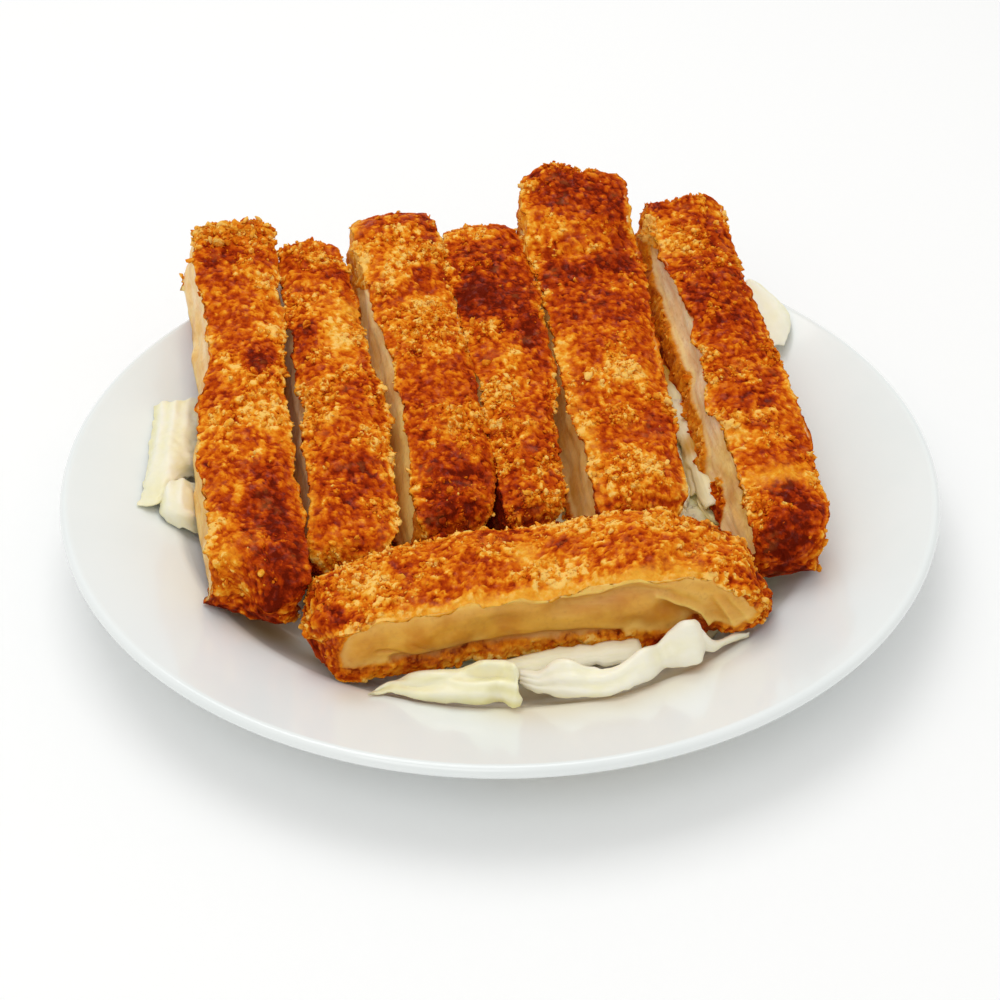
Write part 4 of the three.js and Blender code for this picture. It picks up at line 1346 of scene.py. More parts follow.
SLICES = (
    Slice("slice_1", 11, Route((
        (-59.0, -57, 22, 17, 4.4, 2.0), (-61.9, -30, 23.5, 18.2, 1.6, 3.4), (-66, 0, 22.8, 19, 0.2, 4.8),
        (-69, 35, 20, 19, 0, 6.4), (-76.2, 83, 22, 18.6, 0.4, 7.2),
    )), swell=(
        (0, 0.6, 2.6), (0.14, 0.2, 1.4), (0.29, 0.4, 0.3), (0.46, 1.3, 0.5), (0.62, 1.2, 0.6),
        (0.65, -0.2, 0.8), (0.7, -0.9, 1.0), (0.77, 0, 0.9), (0.83, 1.3, 0.8), (0.89, 2.8, 0.6),
        (1, 1.6, 0.4),
    ), rosy=0.3, crust_under=-2, crust_ends=(2.2, 0.6), lean=0.42, end_lengths=(11, 7),
        end_roundness=(0.6, 0.5), folds=(
        Fold(LEFT, ((0.0, 10), (1.0, 10)), 12, batter=0.15),
        Fold(LEFT, ((0.1, 9), (0.3, 7), (0.5, 10)), 2.2, out=-0.9, brown=0.15),
        Fold(LEFT, ((0.55, 12), (0.75, 9), (0.9, 11)), 1.8, out=-0.7, rosy=0.5),
        Fold(LEFT, ((0.9, 18), (1, 14)), 5, brown=-0.6),
    ), patches=(
        Patch(0.95, -0.15, 13, 21, -0.05, crumbs=0.9, rise=0.9, pile=1.0),
        Patch(0.87, -0.05, 8, 11.5, 0.32, crumbs=-0.2, rise=-0.6),
        Patch(0.79, -0.17, 6.5, 7.5, 0.07, crumbs=-0.5), Patch(0.86, -0.5, 6.5, 4, -0.35),
        Patch(0.7, -0.2, 18, 15.5, 0.04, crumbs=-0.5), Patch(0.64, 0.33, 6.5, 6, -0.3, crumbs=0.5),
        Patch(0.78, 0.23, 5.5, 5, -0.25, crumbs=0.4), Patch(0.55, 0.12, 10, 8.5, 0.36, crumbs=-0.5),
        Patch(0.53, -0.17, 8, 4.5, -0.3, crumbs=0.6), Patch(0.42, 0.2, 18, 12.5, -0.3, crumbs=0.7, rise=0.4),
        Patch(0.3, 0, 7.5, 9.5, -0.2, crumbs=0.5), Patch(0.39, -0.35, 11.5, 6, -0.45),
        Patch(0.16, 0.08, 34.5, 21, 0.11, crumbs=-0.6), Patch(0.13, 0.2, 23, 4.5, 0.25),
        Patch(0.21, -0.15, 10, 2.5, -0.4), Patch(0.13, -0.35, 9, 9.5, -0.4),
        Patch(0.04, 0.18, 4, 10.5, 0.11, rise=-0.6), Patch(0.03, -0.3, 8, 7, -0.4, batter=0.25),
        Patch(0.07, -0.12, 5, 9, -0.25, batter=0.2), Patch(0, 0.3, 12, 12, 0.35),
        Patch(0, -0.5, 34, 18, push=5.4, deep=40), Patch(0, 0.4, 24, 14, push=-4.5, deep=40),
    )),
    Slice("slice_2", 23, Route((
        (-37, -47, 18.5, 17, 2.6, 2.4), (-37.6, -25, 21, 18.8, 0.6, 4), (-40.6, 0, 22.6, 19, 0, 4.2),
        (-46.9, 33, 19.6, 18.6, 0, 4.2), (-54.2, 77, 19.6, 17.6, 0, 4.2),
    )), swell=(
        (0, 1.2, 1.5), (0.14, 0.5, 1.7), (0.29, 0.4, 0.3), (0.43, 0, 0.7), (0.57, -0.7, 1.0),
        (0.71, -0.5, 0.8), (0.86, 0.2, 0.2), (1, 0, -2.4),
    ), rosy=0.7, end_lengths=(11, 8), folds=(
        # Browner bands on the left face, which lies in the gap by slice 1: painted shade.
        Fold(LEFT, ((0, 6), (0.75, 6)), 9, brown=0.25),
        Fold(LEFT, ((0, 15), (0.7, 15)), 4.5, brown=0.7),
    ), patches=(
        Patch(0.97, 0.05, 12, 18, -0.22, crumbs=0.5),
        Patch(0.87, 0.12, 14.5, 10.5, -0.15, crumbs=0.5, rise=0.2),
        Patch(0.88, -0.2, 5, 2.5, 0.29, rise=-0.3), Patch(0.66, -0.35, 11.5, 7.5, 0.36, crumbs=-0.6),
        Patch(0.63, 0.12, 19.5, 7.5, -0.45, crumbs=0.1),
        Patch(0.72, 0.36, 7, 6, -0.3, crumbs=-0.6, batter=0.6), Patch(1.0, 0.15, 9, 7, push=1.6),
        Patch(1.0, -0.45, 9, 8, push=-2.0), Patch(0.48, -0.2, 14.5, 12.5, -0.25, crumbs=0.7, rise=0.3),
        Patch(0.21, 0.08, 16.5, 9.5, 0.18, crumbs=-0.3), Patch(0.13, -0.5, 11.5, 3, -0.4, batter=0.5),
        Patch(0, -0.35, 10.5, 9.5, -0.15, crumbs=0.5),
    )),
    Slice("slice_3", 37, Route((
        (-9, -33, 18, 17, 0.6, 8), (-11.8, -14, 20.6, 18.6, 0, 7.6), (-15.6, 10, 19.6, 19.2, 0, 7),
        (-22.4, 40, 22, 19.4, 0, 5), (-31.8, 90, 25, 19.4, 1.2, 2.4),
    )), swell=(
        (0, 2.4, 0.2), (0.14, 1.5, -0.3), (0.29, 0.3, -0.2), (0.4, 0.5, 0.6), (0.57, 0.7, 1.1),
        (0.71, 0, 0.9), (0.86, 0.9, 0.2), (0.93, 1.8, 0), (1, 0.4, 0),
    ), rosy=0.4, crust_ends=(2.2, 11), end_lengths=(11, 13), end_roundness=(0.6, 0.85), folds=(
        Fold(LEFT, ((0.8, 4), (1, 4), (1, 14), (0.8, 14)), 8, crust=9, batter=0.45, brown=-0.1),
        Fold(LEFT, ((0, 5), (0.3, 6)), 7, batter=0.5, rosy=-0.5),
        # Brown band low on the left face: painted shadow of slice 2's side in the gap.
        Fold(LEFT, ((0, 15), (0.45, 15)), 4.5, brown=0.75, rosy=-0.4),
    ), patches=(
        Patch(0.76, -0.17, 19.5, 14.5, -0.25, crumbs=0.6, rise=0.4),
        Patch(0.87, 0, 6.5, 7.5, -0.2, crumbs=0.2), Patch(0.71, 0.15, 14.5, 5, 0.29, rise=-0.6),
        Patch(0.63, 0.08, 5, 5, -0.35, crumbs=0.2, rise=0.2),
        Patch(0.47, -0.17, 5.5, 4.5, 0.36, crumbs=-0.2, rise=-0.9),
        Patch(0.5, -0.02, 24.5, 16.5, -0.15, crumbs=0.5),
        Patch(0.27, 0.05, 19.5, 11.5, -0.2, crumbs=0.6, rise=0.2, batter=0.1),
        Patch(0.11, -0.02, 8, 10.5, crumbs=-0.6), Patch(0.03, -0.05, 16.5, 12.5, 0.32, crumbs=-0.2),
        Patch(0.8, -0.5, 11.5, 5, -0.5, batter=0.25),
        Patch(0.94, -0.5, 16, 7, -0.3, crumbs=-0.5, batter=0.35),
    )),
    Slice("slice_4", 41, Route((
        (10.8, -31, 15, 17, 0.6, 6), (7.6, -12, 16.6, 18.4, 0, 6), (5, 12, 20.4, 18.8, 0, 6),
        (0.6, 44, 22.6, 19, 0, 5), (-7.2, 86, 23.2, 18.4, 0.6, 4.4),
    )), swell=(
        (0, 0.6, 0), (0.14, 1.0, 0.1), (0.29, 0.2, 0), (0.43, 0.6, -0.4), (0.57, 0.4, 0.6), (0.71, 1.0, 0.5),
        (0.86, 1.3, 0.4), (1, 0, 0),
    ), browning=0.58, end_lengths=(11, 13), end_roundness=(0.6, 0.8), folds=(
        Fold(LEFT, ((0, 4), (0.2, 4), (0.2, 14), (0, 14)), 7, crust=14, brown=0.5),
    ), patches=(
        Patch(0.87, -0.07, 11.5, 18.5, 0.07, crumbs=-0.2),
        Patch(0.9, 0.03, 5, 7.5, -0.35, crumbs=0.2, rise=0.2), Patch(0.68, -0.12, 36, 22, 0.22, crumbs=-0.15),
        Patch(0.67, -0.4, 8, 6, 0.25, rise=-0.3), Patch(0.55, 0.28, 11.5, 6, 0.32),
        Patch(0.57, -0.2, 5, 2.5, -0.6, crumbs=0.9, rise=0.3),
        Patch(0.74, -0.47, 4, 2, -0.5, crumbs=0.7, rise=0.2),
        Patch(0.47, 0, 6.5, 6, -0.3, crumbs=0.6, rise=0.2), Patch(0.31, -0.1, 36.5, 15.5, -0.15, crumbs=0.35),
        Patch(0.6, 0.48, 11.5, 2, -0.15, batter=0.3), Patch(0.1, -0.22, 24.5, 18, 0.07),
    )),
    Slice("slice_5", 53, Route((
        (37.4, -32, 23.6, 17, 0.6, 5), (33.8, -8, 25.4, 18.8, 0, 5), (29.6, 21, 26.8, 19, 0, 5),
        (27.4, 48, 27.8, 18.4, 0.4, 5), (24.6, 65, 28, 16, 3, 4), (21.6, 78, 28.6, 19.6, 5.0, 2),
        (20.8, 101, 28.4, 19, 7.7, 0.6),
    )), swell=(
        (0, 0, 0.2), (0.29, -0.2, 0.6), (0.43, 0.8, 0.5), (0.57, 0.6, 2.0), (0.71, 1.7, 1.0),
        (0.86, 0.6, 1.4), (1, 0, 0),
    ), rosy=0.2, crust_ends=(2.2, 10), end_roundness=(0.6, 0.7), folds=(
        Fold(LEFT, ((0.8, 4), (1, 4), (1, 14)), 8, crust=8, batter=0.4, brown=-0.1),
        # Browner band on the left face in the gap by slice 4: painted shade.
        Fold(LEFT, ((0, 8), (0.4, 8)), 9, brown=0.4),
    ), patches=(
        Patch(1.0, 0.08, 12, 6, push=-4.0), Patch(1.0, -0.26, 10, 13, push=1.6),
        Patch(0.97, 0.06, 9, 3.5, rise=-1.2), Patch(1.0, -0.5, 12, 5, push=-3.5),
        Patch(1.0, 0.36, 14, 12, push=-2.6, rise=-0.9), Patch(0.88, -0.12, 13, 8.5, 0.25, crumbs=-0.5),
        Patch(0.82, 0.2, 6.5, 5, 0.25), Patch(0.87, 0.25, 14.5, 13.5, 0.11, crumbs=-0.5),
        Patch(0.83, -0.47, 23, 3, -0.25), Patch(0.82, 0.5, 10, 2.5, -0.5, batter=0.5),
        Patch(0.73, -0.07, 5, 12.5, -0.35, rise=-0.8), Patch(0.69, -0.02, 7.5, 26, 0.22, crumbs=-0.4),
        Patch(0.53, -0.12, 24.5, 28.5, 0.04, crumbs=-0.25),
        Patch(0.36, 0.12, 10.5, 11.5, -0.3, crumbs=0.6, rise=0.2),
        Patch(0.1, 0.05, 14.5, 9.5, -0.25, crumbs=0.5, rise=0.2), Patch(0.07, 0.2, 4, 13.5, 0.22, rise=-0.3),
        Patch(0.44, -0.42, 12, 5, -0.4), Patch(0.22, -0.42, 36.5, 4, -0.35, batter=0.35),
    )),
    Slice("slice_6", 67, Route((
        (73.6, -41, 21, 17, 2, 3), (70.4, -15, 21.6, 17.8, 0.8, 5.4), (67.2, 8, 22, 18.6, 0.2, 5.8),
        (62.8, 36, 20.2, 18.8, 0, 6.6), (57.8, 64, 20.2, 18.8, 0, 6.2), (52.6, 96, 23.5, 18.8, 0, 4.6),
    )), swell=(
        (0, -0.6, -0.8), (0.14, -0.8, -0.6), (0.29, 0, 0.5), (0.43, 0.8, 1.2), (0.57, 0, -0.5),
        (0.71, 0, 0.3), (0.86, 0.5, 0),
    ), rosy=0.9, crust_under=9.0, lean=0.9, end_lengths=(11, 9), end_roundness=(0.6, 0.55), folds=(
        Fold(LEFT, ((0.0, 16), (0.26, 16)), 6, crust=-8),
        Fold(LEFT, ((0.9, 2), (1, 2), (1, 14)), 7, crust=7, batter=0.4, brown=-0.1),
        Fold(LEFT, ((0.0, 6), (0.26, 6)), 6, rosy=-0.7),
        Fold(LEFT, ((0.19, 14.5), (0.23, 13)), 3.4, crust=5, brown=0.1, out=-0.6),
        Fold(LEFT, ((0.3, 13), (0.95, 13)), 5, batter=0.5),
    ), patches=(
        Patch(0.89, -0.5, 10.5, 6, -0.4), Patch(0.83, -0.12, 14.5, 12.5, -0.1, crumbs=0.5, rise=0.2),
        Patch(0.61, -0.05, 29.5, 16.5, 0.07, crumbs=-0.3), Patch(0.49, 0.23, 5, 3, 0.22, rise=-1),
        Patch(0.39, 0.43, 10, 3, -0.4), Patch(0.34, 0.1, 4, 4, 0.36),
        Patch(0.31, -0.07, 4, 3.5, -0.4, batter=0.3), Patch(0.26, -0.42, 10, 9.5, -0.35, crumbs=0.1),
        Patch(0.24, -0.45, 5, 4, 0.29), Patch(0.15, 0.03, 7, 17.5, -0.4, crumbs=-0.6, rise=-0.8, batter=0.5),
        Patch(0.12, -0.1, 4, 13, 0.25), Patch(0, -0.2, 19.5, 11.5, 0.29, crumbs=0.1),
    )),
    Slice("slice_7", 79, Route((
        (-46.4, -66.4, 20, 15.8, 13.4, -1), (-30, -61, 25, 18.4, 12.6, -1), (-9, -53.8, 27.8, 20, 12.4, -1),
        (12, -50.6, 27.5, 19.6, 12.6, -1), (33, -48.4, 28, 22.4, 13, -1), (50, -48.8, 23.5, 18.6, 14.2, -1),
        (66.6, -54, 16, 11.6, 16.4, -1),
    )), on_bed=False, rosy=0.15, browning=0.42, lip_gold=0.4, crust_over=1.0, crust_under=5.6,
        crust_ends=(4.2, 2.0), meat_inset=0.3, lean=0.15, end_lengths=(8, 11), end_roundness=(0.45, 0.6),
        soft_cut=2.4, side_step=0.48, folds=(
        Fold(LEFT, ((0, 0), (1, 0)), 5, crust=5, brown=0.2),
        Fold(RIGHT, ((0.02, 6), (0.06, 12)), 5, brown=0.3),
        Fold(RIGHT, ((0.03, 17.5), (0.4, 18.5), (0.7, 20)), 3.4, brown=-0.3),
        Fold(RIGHT, ((0.08, 7), (0.3, 6)), 6, out=1.4),
        Fold(RIGHT, (
            (0.36, 0.8), (0.45, 1), (0.51, 1.6), (0.56, 2.2), (0.61, 2.6), (0.67, 1.4), (0.71, 1),
        ), 1.3, out=1.0, batter=0.7),
        # A pinkish recess; its brown is painted shade.
        Fold(RIGHT, (
            (0.53, 4.6), (0.57, 5), (0.61, 5.6), (0.66, 5), (0.71, 5), (0.76, 6),
        ), 2.4, out=-1.8, rosy=0.9, brown=0.14),
        Fold(RIGHT, ((0.3, 5), (0.44, 5), (0.52, 8), (0.62, 9), (0.72, 11)), 3.0, out=0.7, batter=0.2),
        # The sunk line where the meat overhangs the lower crust, browner as painted shade in the crease.
        Fold(RIGHT, (
            (0.155, 12.3), (0.184, 13), (0.26, 14), (0.38, 14.4), (0.495, 13), (0.58, 14), (0.66, 17),
        ), 1.0, out=-1.6, brown=0.45),
        Fold(RIGHT, ((0.72, 3), (0.76, 4), (0.82, 4.5), (0.86, 6)), 2.6, batter=0.5, out=0.6, crust=-2),
        Fold(RIGHT, (
            (0.74, 6.6), (0.78, 7.8), (0.82, 8.4), (0.86, 9.6), (0.885, 12.3),
        ), 0.9, out=1.6, batter=0.8),
        # Two sunk creases by the right end, browner as painted shade.
        Fold(RIGHT, ((0.76, 10), (0.83, 12)), 1.8, out=-1.0, brown=0.15),
        Fold(RIGHT, ((0.84, 14), (0.87, 15), (0.895, 16)), 2.2, out=-1.8, brown=0.2),
        Fold(RIGHT, ((0.9, 5), (0.93, 9), (0.955, 13)), 1.2, out=1.0, batter=0.35),
        Fold(RIGHT, ((0.93, 3.5), (0.96, 7), (0.975, 10)), 1.0, out=0.6, batter=0.25),
        Fold(RIGHT, ((0.9, 8), (0.96, 9)), 4.5, rosy=0.5, crust=-2.5),
        # Two thin sunk cracks, browner as painted shade.
        Fold(RIGHT, ((0.12, 8.6), (0.15, 9.6), (0.18, 12)), 0.45, out=-0.5, brown=0.35),
        Fold(RIGHT, ((0.19, 8.5), (0.215, 11), (0.235, 12)), 0.45, out=-0.4, brown=0.3),
    ), patches=(
        Patch(0.24, 0.5, 22, 4.5, -0.3, crumbs=-0.6, batter=0.5),
        Patch(0.42, 0.49, 26, 4.5, -0.3, crumbs=-0.8, batter=0.6),
        Patch(0.6, 0.49, 30, 4, -0.3, crumbs=-0.6, batter=0.5),
        Patch(0.7, 0.47, 8, 5, -0.2, crumbs=-0.6, batter=0.5),
        Patch(0.8, 0.43, 14, 9, -0.3, crumbs=-0.8, batter=0.7),
        Patch(0.15, -0.07, 17.5, 15.5, -0.2, crumbs=0.7, rise=0.2), Patch(0.21, 0, 4, 9, 0.22, crumbs=-0.6),
        Patch(0.47, -0.05, 6, 7.5, -0.5, crumbs=-0.8, rise=-0.3, batter=0.6),
        Patch(0.55, -0.12, 3.5, 4.5, 0.36, rise=-0.8), Patch(0.71, 0.3, 3.5, 4.5, 0.36, rise=-0.8),
        Patch(0.52, 0.35, 7, 8.5, -0.2, crumbs=0.5, batter=0.2),
        Patch(0.64, -0.22, 29.5, 9, -0.1, crumbs=0.4), Patch(0.83, 0.05, 14.5, 19, 0.07, crumbs=0.2),
        Patch(0.05, 0.05, 6, 19, 0.18), Patch(0.35, -0.5, 60, 6, 0.35, crumbs=0.5),
        Patch(0.8, -0.5, 40, 6, 0.3, crumbs=0.4), Patch(0, -0.2, 12, 14, push=2.6),
        Patch(0, 0.2, 8, 8, push=-1.6), Patch(0, 0.5, 14, 8, push=2, deep=30),
        Patch(1.0, -0.5, 16, 14, push=-5.0), Patch(1.0, 0.1, 14, 10, push=-2.0),
    )),
)


@dataclass(frozen=True)
class LooseCrumbs:
    """Separate breadcrumbs of one kind, stuck to the crust of every slice."""

    name: str
    per_slice: int
    size: Pair  # half a crumb's length, least and most
    fineness: int
    seed: int
    forms: int = 12
    facets: int = 6  # flat faces that each form has
    facet_depths: Pair = (0.3, 0.7)  # from a form's middle, as a share of its radius
    stretch: tuple[Pair, ...] = ((0.8, 1.4), (0.6, 1.1), (0.45, 0.8))  # of its three sizes
    thinly: float = 0.006  # how often crumbs stand outside the clusters
    heaped: float = 3.0  # how often they stand in a pile
    pile_growth: float = 0.5
    stand: float = 0.15  # how far a crumb's middle is from the crust, as a share of its radius
    paler: float = 0.72  # a crumb's browning, as a share of the crust's
    tones: Pair = (-0.12, 0.2)  # added to it, least and most

    def stone(self, rng: Random) -> Shell:
        """One angular crumb of radius 1.

        Args:
            rng: Where its own shape comes from.

        Returns:
            The crumb.
        """
        mesh = bpy.data.meshes.new("stone")
        form = bmesh.new()
        bmesh.ops.create_icosphere(form, subdivisions=self.fineness, radius=1.0)
        form.to_mesh(mesh)
        form.free()
        points = np.array([v.co for v in mesh.vertices], float)
        faces = np.array([p.vertices for p in mesh.polygons], np.int64)
        bpy.data.meshes.remove(mesh)
        for _ in range(self.facets):
            facing = unit(rng.normal(size=3))
            over = np.maximum(0.0, points @ facing - rng.uniform(*self.facet_depths))
            points = points - over[:, None] * facing * 0.95
        points = points * (1 + 0.55 * noise(points * 1.7 + rng.uniform(0, 50), 9)[:, None])
        return Shell(points, triangles=faces)

    def build(self, shells: list[Shell], crust: Material) -> Piece:
        """Sticks the crumbs on the slices.

        Args:
            shells: The slices' shells.
            crust: Finish of the breading.

        Returns:
            One object with every crumb of this kind.
        """
        rng = np.random.default_rng(self.seed)
        stones = [self.stone(rng) for _ in range(self.forms)]
        crumbs = []
        for shell in shells:
            normals = shell.point_normals()
            weight = self.thinly + shell.values["cluster"] ** 3 + self.heaped * shell.values["pile"]
            weight = weight * (1 - shell.values["flesh"]) * (1 - 0.9 * shell.values["batter"])
            weight = weight * smoothstep(normals[:, 2] / 0.5)
            chosen = rng.choice(len(weight), self.per_slice, replace=False, p=weight / weight.sum())
            crumbs += [self.placed(stones, shell, n, normals[n], rng) for n in chosen]
        piece = joined(crumbs).to_object(self.name, crust)
        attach(piece, BODY)
        return piece

    def placed(
        self, stones: list[Shell], shell: Shell, n: int, normal: Array, rng: Random
    ) -> Shell:
        """A stone scaled, turned and sunk into the crust.

        Args:
            stones: Forms to choose from.
            shell: The slice that it sticks to.
            n: Number of the slice's point where it stands.
            normal: The crust's direction there.
            rng: Where its form, size, turn and tone come from.

        Returns:
            The crumb with its named values.
        """
        radius = lerp(*self.size, rng.random() ** 2) * (1 + self.pile_growth * shell.values["pile"][n])
        stone = stones[rng.integers(self.forms)]
        scale = radius * np.array([rng.uniform(*limits) for limits in self.stretch])
        turn, _ = np.linalg.qr(rng.normal(size=(3, 3)))
        turn *= np.sign(np.linalg.det(turn))
        points = (stone.points * scale) @ turn.T + shell.points[n] + normal * radius * self.stand
        points[:, 2] = np.minimum(points[:, 2], SUMMIT)
        browning = self.paler * shell.values["browning"][n] + rng.uniform(*self.tones)
        looks = {"browning": np.clip(browning, 0, 1), "crumb": 0.3, "tone": rng.random(), "batter": 0.0}
        layers = {key: np.full(len(points), look) for key, look in (looks | {"cluster": 1.0}).items()}
        return Shell(points, triangles=stone.triangles, values=layers)


CRUMBS = (
    LooseCrumbs("coarse_crumbs", 270, (0.5, 1.4), 2, 5),
    LooseCrumbs("fine_crumbs", 980, (0.32, 0.7), 1, 6),
)


# ---- cabbage ----


@dataclass(frozen=True)
class Cut:
    """Pieces of one kind that the cabbage was chopped into, with their least and greatest sizes."""

    count: int
    length: Pair
    width: Pair
    thickness: Pair


@dataclass(frozen=True)
class CabbageHeap:
    """The bed of chopped cabbage: a closed core, with strips and flakes of leaf piled on it."""

    centre: Pair = (3.0, 3.0)
    half_width: float = 66.0
    half_depth: float = 67.0
    squareness: float = 2.7
    shear: float = -0.12
    edge_wave: float = 0.035
    brow: float = 0.68
    hem: float = 2.4
    least_top: float = 12.0
    head_rest: tuple[float, float, float, float] = (19.0, 70.0, 16.0, 5.0)  # x, y, radius, rise
    core_rings: tuple[tuple[float, float, int], ...] = ((0.02, 0.6, 8), (0.63, 0.97, 14))
    core_segments: int = 160
    core_sink: float = 1.0
    core_least: float = 0.6  # its least thickness
    core_lumps: Pair = (5.0, 1.2)  # pitch and height
    flake: Cut = Cut(190, (11, 24), (7, 13), (0.6, 1.1))
    shred: Cut = Cut(240, (18, 38), (2.2, 4.6), (0.8, 1.5))
    slope_from: float = 0.66  # the pieces lie farther out than this share
    scatter: Pair = (-0.6, 1.6)  # height of their middles over the bed's face
    curl: Pair = (0.4, 1.5)  # height of their waves
    piece_steps: Pair = (1.7, 1.4)  # between the points along a piece and across it
    strip_grid: tuple[int, int] = (26, 9)
    strip_thickness: float = 0.9
    seed: int = 404
    strips: tuple[tuple[tuple[Spot, ...], float, float], ...] = (  # line, width and leafiness
        ((
            (43.9, 48, 25), (45.2, 40, 25.4), (46.6, 33, 25.4), (47.4, 26.5, 25.2), (47.9, 21.5, 24.4),
        ), 4.6, 0.5),
        ((
            (47.1, 24.3, 26), (48.1, 19, 25), (49.4, 12.4, 24), (50.7, 7.2, 23), (52.1, 0.5, 22),
            (53.7, -7, 21), (55.3, -14.7, 20),
        ), 4.4, 0.4),
        (((50, 21, 23), (50.4, 12, 22), (51.2, 2, 20.6), (52.4, -8, 19.6)), 4.0, 0.4),
        ((
            (-3, -73.6, 15.6), (6, -71.8, 16.4), (14, -70.4, 17), (24, -69, 17.2), (34, -67.2, 17.4),
        ), 6.0, 0.1),
    )
    juice: tuple[Spot, ...] = ((45.4, 38, 4.5), (51.3, 7.2, 2.6))  # x, y and reach
    juice_stretch: float = 1.6  # how much farther the juice runs along a gap than across it
    half_plan: int = 124  # half the width of the plan in which the room under the slices is noted
    square: int = 2
    open_height: float = 99.0  # stands for no slice above
    bare_corner: Pair = (27.0, -34.0)  # no loose strips farther to either side and nearer

    def place(self, share: Number, angle: Number) -> Array:
        """A place in the plan.

        Args:
            share: How far out it lies, from 0 in the middle to 1 at the edge.
            angle: Its direction from the middle, in radians.

        Returns:
            Its x and y.
        """
        wave = 1 + self.edge_wave * (np.sin(5 * angle + 0.7) + 0.8 * np.sin(11 * angle + 2))

        def axis(c: Array) -> Array:
            """One coordinate of the rounded square from a cosine or sine."""
            return np.sign(c) * np.abs(c) ** (2 / self.squareness) * share * wave

        away = self.half_depth * axis(np.sin(angle))
        across = self.centre[0] + self.half_width * axis(np.cos(angle)) + self.shear * away
        return np.stack([across, self.centre[1] + away], -1)

    def height(self, spot: Array, share: Number) -> Array:
        """Height of the bed's upper face.

        Args:
            spot: Places in the plan, shape (..., 2).
            share: How far out they lie, from 0 to 1.

        Returns:
            The heights.
        """
        x, y = spot[..., 0], spot[..., 1]
        rest_x, rest_y, radius, rise = self.head_rest
        hump = rise * smoothstep(1.6 - np.hypot(x - rest_x, y - rest_y) / radius)
        full = np.maximum(bed_top(y), self.least_top) - GAP + hump
        edge = plate_height(spot) + 2 * GAP + self.hem
        return lerp(np.maximum(full, edge), edge, smoothstep((share - self.brow) / (1 - self.brow)))

    def core(self) -> Shell:
        """The closed core, a little below the strips that cover it."""
        shares = np.concatenate([np.linspace(*rings) for rings in self.core_rings])
        angles = np.linspace(0, 2 * math.pi, self.core_segments, endpoint=False)
        share, angle = np.meshgrid(shares, angles, indexing="ij")
        spot = self.place(share, angle)
        upper = self.height(spot, share)
        pitch, rise = self.core_lumps
        lumps = rise * noise(np.concatenate([spot / pitch, 0 * spot[..., :1]], -1), 71)
        floor = plate_height(spot) + GAP
        upper = upper - self.core_sink + lumps * smoothstep((share - 0.5) / 0.3)
        upper = np.maximum(upper, floor + self.core_least)
        top = np.concatenate([spot, upper[..., None]], -1)
        below = np.concatenate([spot, floor[..., None]], -1)[::-1]
        shell = closed_tube(np.concatenate([top, below]), {})
        places = shell.points
        shell.values = {"leafy": np.full(len(places), 0.6), "oily": self.oily(places), "grain": places / 3.0}
        return shell

    def squares(self, points: Array) -> tuple[Indices, Indices]:
        """The plan's squares that points are in.

        Args:
            points: The points, shape (..., 3).

        Returns:
            Their rows and columns.
        """
        square = ((points[..., :2] + self.half_plan) / self.square).astype(int)
        square = np.clip(square, 0, 2 * self.half_plan // self.square - 1)
        return square[..., 0], square[..., 1]

    def ceiling(self, slices: list[Shell]) -> Array:
        """Lowest point of the slices over each square of the plan and the squares round it.

        Args:
            slices: Shells of the slices.

        Returns:
            One height for each square.
        """
        lowest = np.full((2 * self.half_plan // self.square,) * 2, self.open_height)
        points = np.concatenate([shell.points for shell in slices])
        np.minimum.at(lowest, self.squares(points), points[:, 2])
        return np.minimum.reduce([np.roll(lowest, (i, j), (0, 1)) for i in (-1, 0, 1) for j in (-1, 0, 1)])

    def oily(self, points: Array) -> Array:
        """How far yellow frying juice has soaked into the cabbage.

        Args:
            points: Places in it, shape (n, 3).

        Returns:
            Shares from 0 to 1.
        """
        away = [np.hypot(points[:, 0] - x, (points[:, 1] - y) / self.juice_stretch) / reach
                for x, y, reach in self.juice]
        return np.exp(-(np.minimum.reduce(away) ** 4))

    def held(self, points: Array, ceiling: Array, thickness: float) -> Array:
        """Points kept above the plate and below the slices.

        Args:
            points: The points, which are moved.
            ceiling: Lowest point of the slices over each square.
            thickness: Thickness of the piece that they belong to.

        Returns:
            The same points.
        """
        roof = ceiling[self.squares(points)] - thickness / 2 - 0.25
        floor = plate_height(points) + GAP + thickness * 0.6
        points[..., 2] = np.maximum(np.minimum(points[..., 2], roof), floor)
        return points

